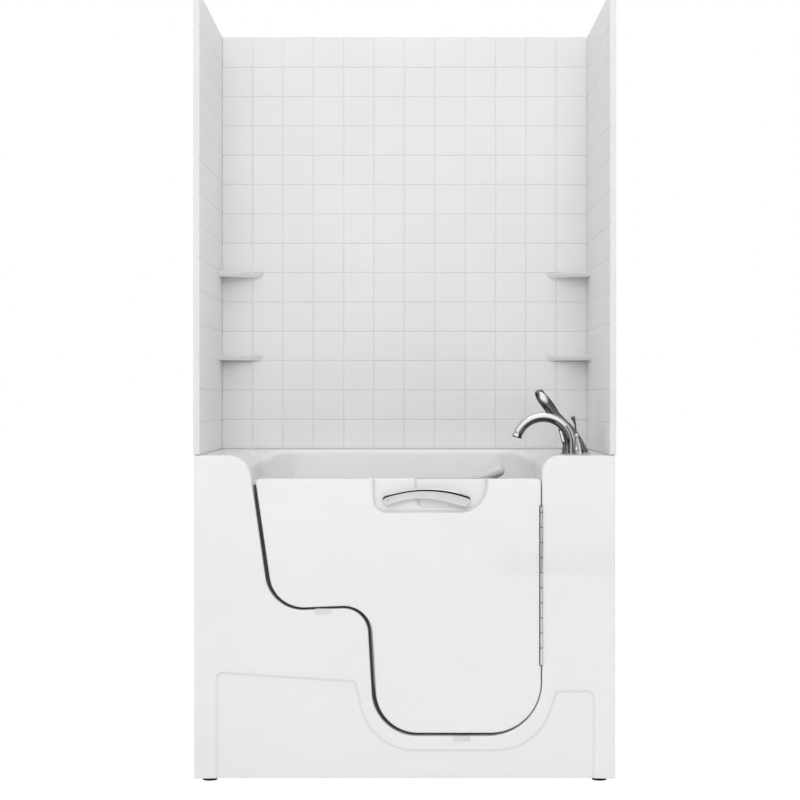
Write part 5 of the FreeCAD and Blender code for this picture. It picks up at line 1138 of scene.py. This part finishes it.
# turned pieces: radius and height in mm
roseLook = {
    "spout": [(16.4, -0.5), (21.0, -0.5), (21.0, 0.6), (20.2, 2.0), (18.4, 3.6), (16.4, 4.6)],
    "hot": [(5.8, -0.5), (17.0, -0.5), (17.0, 0.8), (16.2, 2.0), (13.0, 2.8), (9.0, 3.2), (5.8, 3.2)],
    "lever": [(6.3, -0.5), (24.0, -0.5), (24.0, 1.4), (23.2, 3.0), (21.0, 4.4), (16.0, 5.6), (10.0, 6.0),
              (6.3, 6.0)],
    "holder": [(8.5, -30), (14.0, -30), (14.0, -0.2), (18.0, -0.2), (18.0, 0.8), (17.4, 1.8), (15.8, 2.6),
               (8.5, 2.6)],
    "bezel": [(17.5, -26), (21.0, -26), (21.0, -0.2), (25.0, -0.2), (25.0, 1.4), (24.2, 3.0), (22.4, 3.9),
              (19.0, 4.0), (17.9, 3.6), (17.5, 3.0)],
    "button": [(0, -20), (17, -20), (17, 4.4), (16.6, 5.4), (15.6, 6), (12, 5.6), (6, 5), (0, 4.8)],
}


def makeRoses():
    places = (("spout", "spout"), ("hot", "hot"), ("lever", "cold"), ("lever", "diverter"))
    roses = mergeMeshes(*(turned(roseLook[kind], tapSpots[tap]) for kind, tap in places))
    newPiece("tapRoses", roses, "lever", sharp=35, node="tap_roses")
    holder = turned(roseLook["holder"], tapSpots["shower"])
    newPiece("showerHolder", holder, "lever", sharp=35, node="hand_shower_holder")
    bezel = turned(roseLook["bezel"], tapSpots["button"])
    newPiece("buttonBezel", bezel, "chrome", sharp=35, node="button_housing")
    button = turned(roseLook["button"], tapSpots["button"], closed=False)
    newPiece("airButton", button, "chrome", "air_button", sharp=35, node="air_button")


leverBell = [(6.4, 6.5), (19, 6.5), (19.2, 7.6), (17.6, 9.4), (12.5, 12), (9, 15.5), (7.8, 20), (7.4, 26),
             (6.4, 28)]
hotCollar = [(5.8, 3.6), (10.4, 3.6), (10.6, 4.6), (9.6, 6), (8.2, 8.4), (7.6, 12), (7.4, 24), (6.6, 26),
             (5.8, 26.4)]
bladeRounds = ((0.35, 0.93), (0.65, 0.75), (0.88, 0.45), (0.98, 0.15))
handleLook = {
    # blade: x, z, half width seen from the front, half thickness; all in mm from the deck
    "hot": {"blade": [(529.5, 6, 6.4, 6.4), (529.2, 14, 5, 5), (528.8, 20, 5.6, 5), (527.4, 31, 8, 4.4),
                      (523.6, 51, 10, 3.6), (520.6, 63, 10.4, 3.2), (516, 78, 9.6, 2.8),
                      (511.5, 92, 7.6, 2.4)],
            "bell": hotCollar, "paintedHighlight": (40 * mm, 76 * mm, range(9, 12))},
    "cold": {"blade": [(582, 24, 7.5, 6.5), (582, 40, 6.4, 5.6), (581.6, 48, 4, 4), (581.4, 52, 4.4, 4.4)],
             "bell": leverBell, "ball": (581.4, 58, 7)},
    "diverter": {"blade": [(584, 22, 7, 7), (586, 48, 4.2, 4.2), (588, 66, 3.2, 3.2), (587, 88, 3, 3),
                           (583, 104, 4.6, 3.6), (579.6, 113, 7.2, 4), (578.6, 117, 7.6, 4)],
                 "bell": leverBell},
}


def makeHandle(name, look):
    y, node, sides = tapSpots[name][1], name + "_handle", 24
    rows = [(x * mm, y, deckTop + z * mm, half * mm, thin * mm) for x, z, half, thin in look["blade"]]
    _, path, sections = roundedBar(rows, 40, 2.4, sides, tip=rows[-1][4], rounds=bladeRounds, flat=0.5)
    parts = [sweepSections(path, sections), turned(look["bell"], tapSpots[name], sides=48)]
    if "ball" in look:
        parts.append(ballAt(look["ball"], y, deckTop))
    finish = "spout" if "ball" in look else "shower"
    piece = newPiece(name + "Lever", mergeMeshes(*parts), finish, node, node=node)
    if "paintedHighlight" in look:
        # painted highlight: a strip of faces down the blade takes the bright finial chrome
        low, high, highlightSides = look["paintedHighlight"]
        piece.data.materials.append(finishes["finial"])
        for face in piece.data.polygons[:sides * (len(path) - 1)]:
            within = low < face.center.z - deckTop < high
            face.material_index = int(face.index % sides in highlightSides and within)


showerLook = {
    # centre line: x, z, half width, half depth in mm
    "wand": [(600.4, 1050, 11.0, 10.6), (591.6, 1067, 11.0, 10.6), (579.0, 1091.4, 11.0, 10.6),
             (554.0, 1125.8, 11.2, 11.0), (526.2, 1150.7, 13.2, 11.6), (497.2, 1177.5, 16.6, 12.4),
             (473.3, 1208.1, 18.0, 13.4), (455.1, 1234.0, 17.6, 13.0), (447.0, 1248.0, 15.6, 12.0)],
    "tip": 11 * mm, "rounds": ((0.3, 0.95), (0.55, 0.83), (0.78, 0.62), (0.92, 0.38), (0.99, 0.14)),
    "spigot": [(0, -14), (8.0, -14), (8.0, 7.0), (10.4, 8.2), (10.4, 11), (0, 12)],
    # pad rows: share of its half sizes, lift in mm
    "pad": {"height": 1.2290, "half": (22 * mm, 11 * mm), "aside": -3.2 * mm, "sides": 36,
            "rows": ((1.0, -2.0), (1.0, 0.2), (0.94, 1.89), (0.80, 3.024), (0.58, 3.78), (0.3, 4.116))},
    "spray": {"span": (0.60, 0.955), "side": -0.90, "half": 9.5 * mm, "thick": 3.8 * mm},
}


def padShape(curve):
    # raised oval on the front of the head; its bright finial chrome is a painted highlight
    pad = showerLook["pad"]
    here = int(np.argmin(np.abs(curve[:, 2] - pad["height"])))
    _, y, _, _, face = curve[here]
    tangent = (curve[here + 1] - curve[here - 1])[:3]
    tangent /= np.linalg.norm(tangent)
    across = np.cross(tangent, (0, 1, 0))
    long, wide = pad["half"]
    verts = []
    for share, lift in pad["rows"]:
        for t in np.arange(pad["sides"]) * 2 * math.pi / pad["sides"]:
            spot = curve[here][:3] + tangent * long * share * math.cos(t)
            spot = spot + across * (wide * share * math.sin(t) + pad["aside"])
            verts.append((spot[0], y - face - lift * mm, spot[2]))
    return verts, tubeFaces(len(pad["rows"]), pad["sides"])


def sprayShape(curve):
    # strip along the side of the head that water leaves by
    spray = showerLook["spray"]
    low, high = (int(len(curve) * end) for end in spray["span"])
    strip, rings = [], []
    for k in range(low, high):
        tangent = (curve[k + 1] - curve[k - 1])[:3]
        up = np.cross(tangent / np.linalg.norm(tangent), (0, 1, 0))
        share = (k - low) / (high - 1 - low)
        size = max(math.sin(math.pi * share), 0.02) ** 0.4
        strip.append(curve[k][:3] + up * curve[k][3] * spray["side"])
        rings.append(oval(spray["half"] * size, spray["thick"] * size, 2.2, 20))
    return sweepSections(strip, rings)


def makeShower():
    look, body = showerLook, "hand_shower"
    y = tapSpots["shower"][1]
    rows = [(x * mm, y, z * mm, half * mm, deep * mm) for x, z, half, deep in look["wand"]]
    curve, path, sections = roundedBar(rows, 70, 2.5, 32, look["tip"], look["rounds"])
    spigot = turned(look["spigot"], tapSpots["shower"], closed=False)
    wand = mergeMeshes(sweepSections(path, sections), spigot)
    newPiece("handShower", wand, "shower", body, sharp=55, node="hand_shower")
    newPiece("showerPad", padShape(curve), "finial", body)
    newPiece("sprayFace", sprayShape(curve), "rubber", body)


finialLook = {
    # finial that stands before the hand shower: x, z, radius in mm
    "rows": [(578.9, 1046, 7.4), (578.4, 1052, 7.2), (576.6, 1066, 6.4), (573.4, 1082, 5.2),
             (571, 1092, 4.2), (569.6, 1099, 3.8)],
    "depth": -0.166, "ball": (568.8, 1106.5, 6.6),
}


def makeFinial():
    look, y = finialLook, finialLook["depth"]
    curve = smoothPath([(x * mm, y, z * mm, size * mm) for x, z, size in look["rows"]], 24)
    stem = sweepSections(curve[:, :3], [oval(size, size, 2, 24) for size in curve[:, 3]])
    newPiece("holderFinial", mergeMeshes(stem, ballAt(look["ball"], y, 0)), "finial")


gripLook = {
    "axis": (0.162, -0.27145, 0.934), "angle": 25, "drop": 4.6 * mm,
    # along the lever: distance, half height, half depth in mm
    "rows": [(4, 11.5, 11.5), (24, 11.8, 11.8), (40, 13.6, 13.2), (56, 15.8, 15.2), (90, 18.4, 17.0),
             (158, 20.6, 17.6)],
    "tip": 17 * mm, "rounds": ((0.3, 0.96), (0.56, 0.84), (0.78, 0.64), (0.93, 0.38), (0.99, 0.14)),
    "hub": [(0, -17), (16, -17), (19, -15.5), (21, -12), (21.6, -4), (21, 6), (18, 12), (10, 15), (0, 15.6)],
}


def makeGrip():
    look = gripLook
    x, y, z = look["axis"]
    turn = math.radians(look["angle"])
    along = np.array((math.cos(turn), 0, math.sin(turn)))
    start = np.array((x, y, z)) - np.array((-math.sin(turn), 0, math.cos(turn))) * look["drop"]
    rows = [(*(start + along * run * mm), tall * mm, deep * mm) for run, tall, deep in look["rows"]]
    _, path, sections = roundedBar(rows, 40, 2.2, 32, look["tip"], look["rounds"])
    verts, faces = turned(look["hub"], (0, 0), level=0, closed=False, sides=40)
    hub = [(x + hx, y - hz, z + hy) for hx, hy, hz in verts], faces
    grip = mergeMeshes(sweepSections(path, sections), hub)
    newPiece("latchGrip", grip, "grip", "latch_lever", node="latch_lever")


makeSpout()
makeRoses()
for name, look in handleLook.items():
    makeHandle(name, look)
makeShower()
makeFinial()
makeGrip()
print("taps and latch grip made")


# piano hinge

hingeLook = {
    "axis": (0.4375, -0.36775), "barrel": 4.3 * mm, "bottom": 0.377, "length": 0.508,
    "first": 20 * mm, "pitch": 48.1 * mm, "count": 11, "gap": 2.6 * mm, "pin": 3.6 * mm, "pinEnd": 1 * mm,
    "bevel": 0.5 * mm, "bore": 3.65 * mm, "webStart": 2.6 * mm, "webLap": 1 * mm,
    "leafFront": -0.36275, "leafBack": -0.33675,
    # piece, body, node, left and right face
    "leaves": (("leafTub", "root", "hinge_leaf_tub", 0.4378, 0.439),
               ("leafDoor", "door", "hinge_leaf_door", 0.436, 0.4372)),
    "strip": ((0.4303, 0.4331), (-0.3596, -0.3512)),  # black strip that stands in for the shadow gap between the door edge and the barrel, a painted shadow
}


def slabMesh(low, high, corner):
    # a plate on end with its corners cut
    (x0, y0, z0), (x1, y1, z1) = low, high
    rim = [(y0, z0 + corner), (y0 + corner, z0), (y1 - corner, z0), (y1, z0 + corner),
           (y1, z1 - corner), (y1 - corner, z1), (y0 + corner, z1), (y0, z1 - corner)]
    return [(x, y, z) for x in (x0, x1) for y, z in rim], tubeFaces(2, len(rim))


def makeHinge():
    look = hingeLook
    x, y = look["axis"]
    foot, top, front = look["bottom"], look["bottom"] + look["length"], look["leafFront"]
    stops = [top, *(top - look["first"] - k * look["pitch"] for k in range(look["count"] - 1)), foot]
    radius, bevel, bore = look["barrel"], look["bevel"], look["bore"]
    knuckles = [], []
    for index, (high, low) in enumerate(zip(stops, stops[1:])):
        high, low = high - look["gap"] / 2, low + look["gap"] / 2
        profile = [(bore, low), (radius - bevel, low), (radius, low + bevel), (radius, high - bevel),
                   (radius - bevel, high), (bore, high), (bore, low)]
        *_, left, right = look["leaves"][index % 2]
        web = slabMesh((left, y + look["webStart"], low), (right, front + look["webLap"], high), 0.2 * mm)
        knuckles[index % 2].extend((lathe(profile, (x, y, 0), 28), web))
    for parts, (name, body, node, left, right) in zip(knuckles, look["leaves"]):
        leaf = slabMesh((left, front, foot), (right, look["leafBack"], top), 2 * mm)
        newPiece(name, mergeMeshes(*parts, leaf), "hinge", body, 35, node)
    size, end = look["pin"], look["pinEnd"]
    profile = [(0, foot - end), (size - bevel, foot - end), (size, foot),
               (size, top), (size - bevel, top + end), (0, top + end)]
    newPiece("hingePin", lathe(profile, (x, y, 0), 20), "pin", "root", 35, "hinge_pin")
    # painted shadow: a black strip in the rebate beside the barrel
    (left, right), (near, far) = look["strip"]
    strip = slabMesh((left, near, foot), (right, far, top), 1 * mm)
    newPiece("hingeShadowStrip", strip, "rubber", "door", 35)


makeHinge()
print("hinge made")
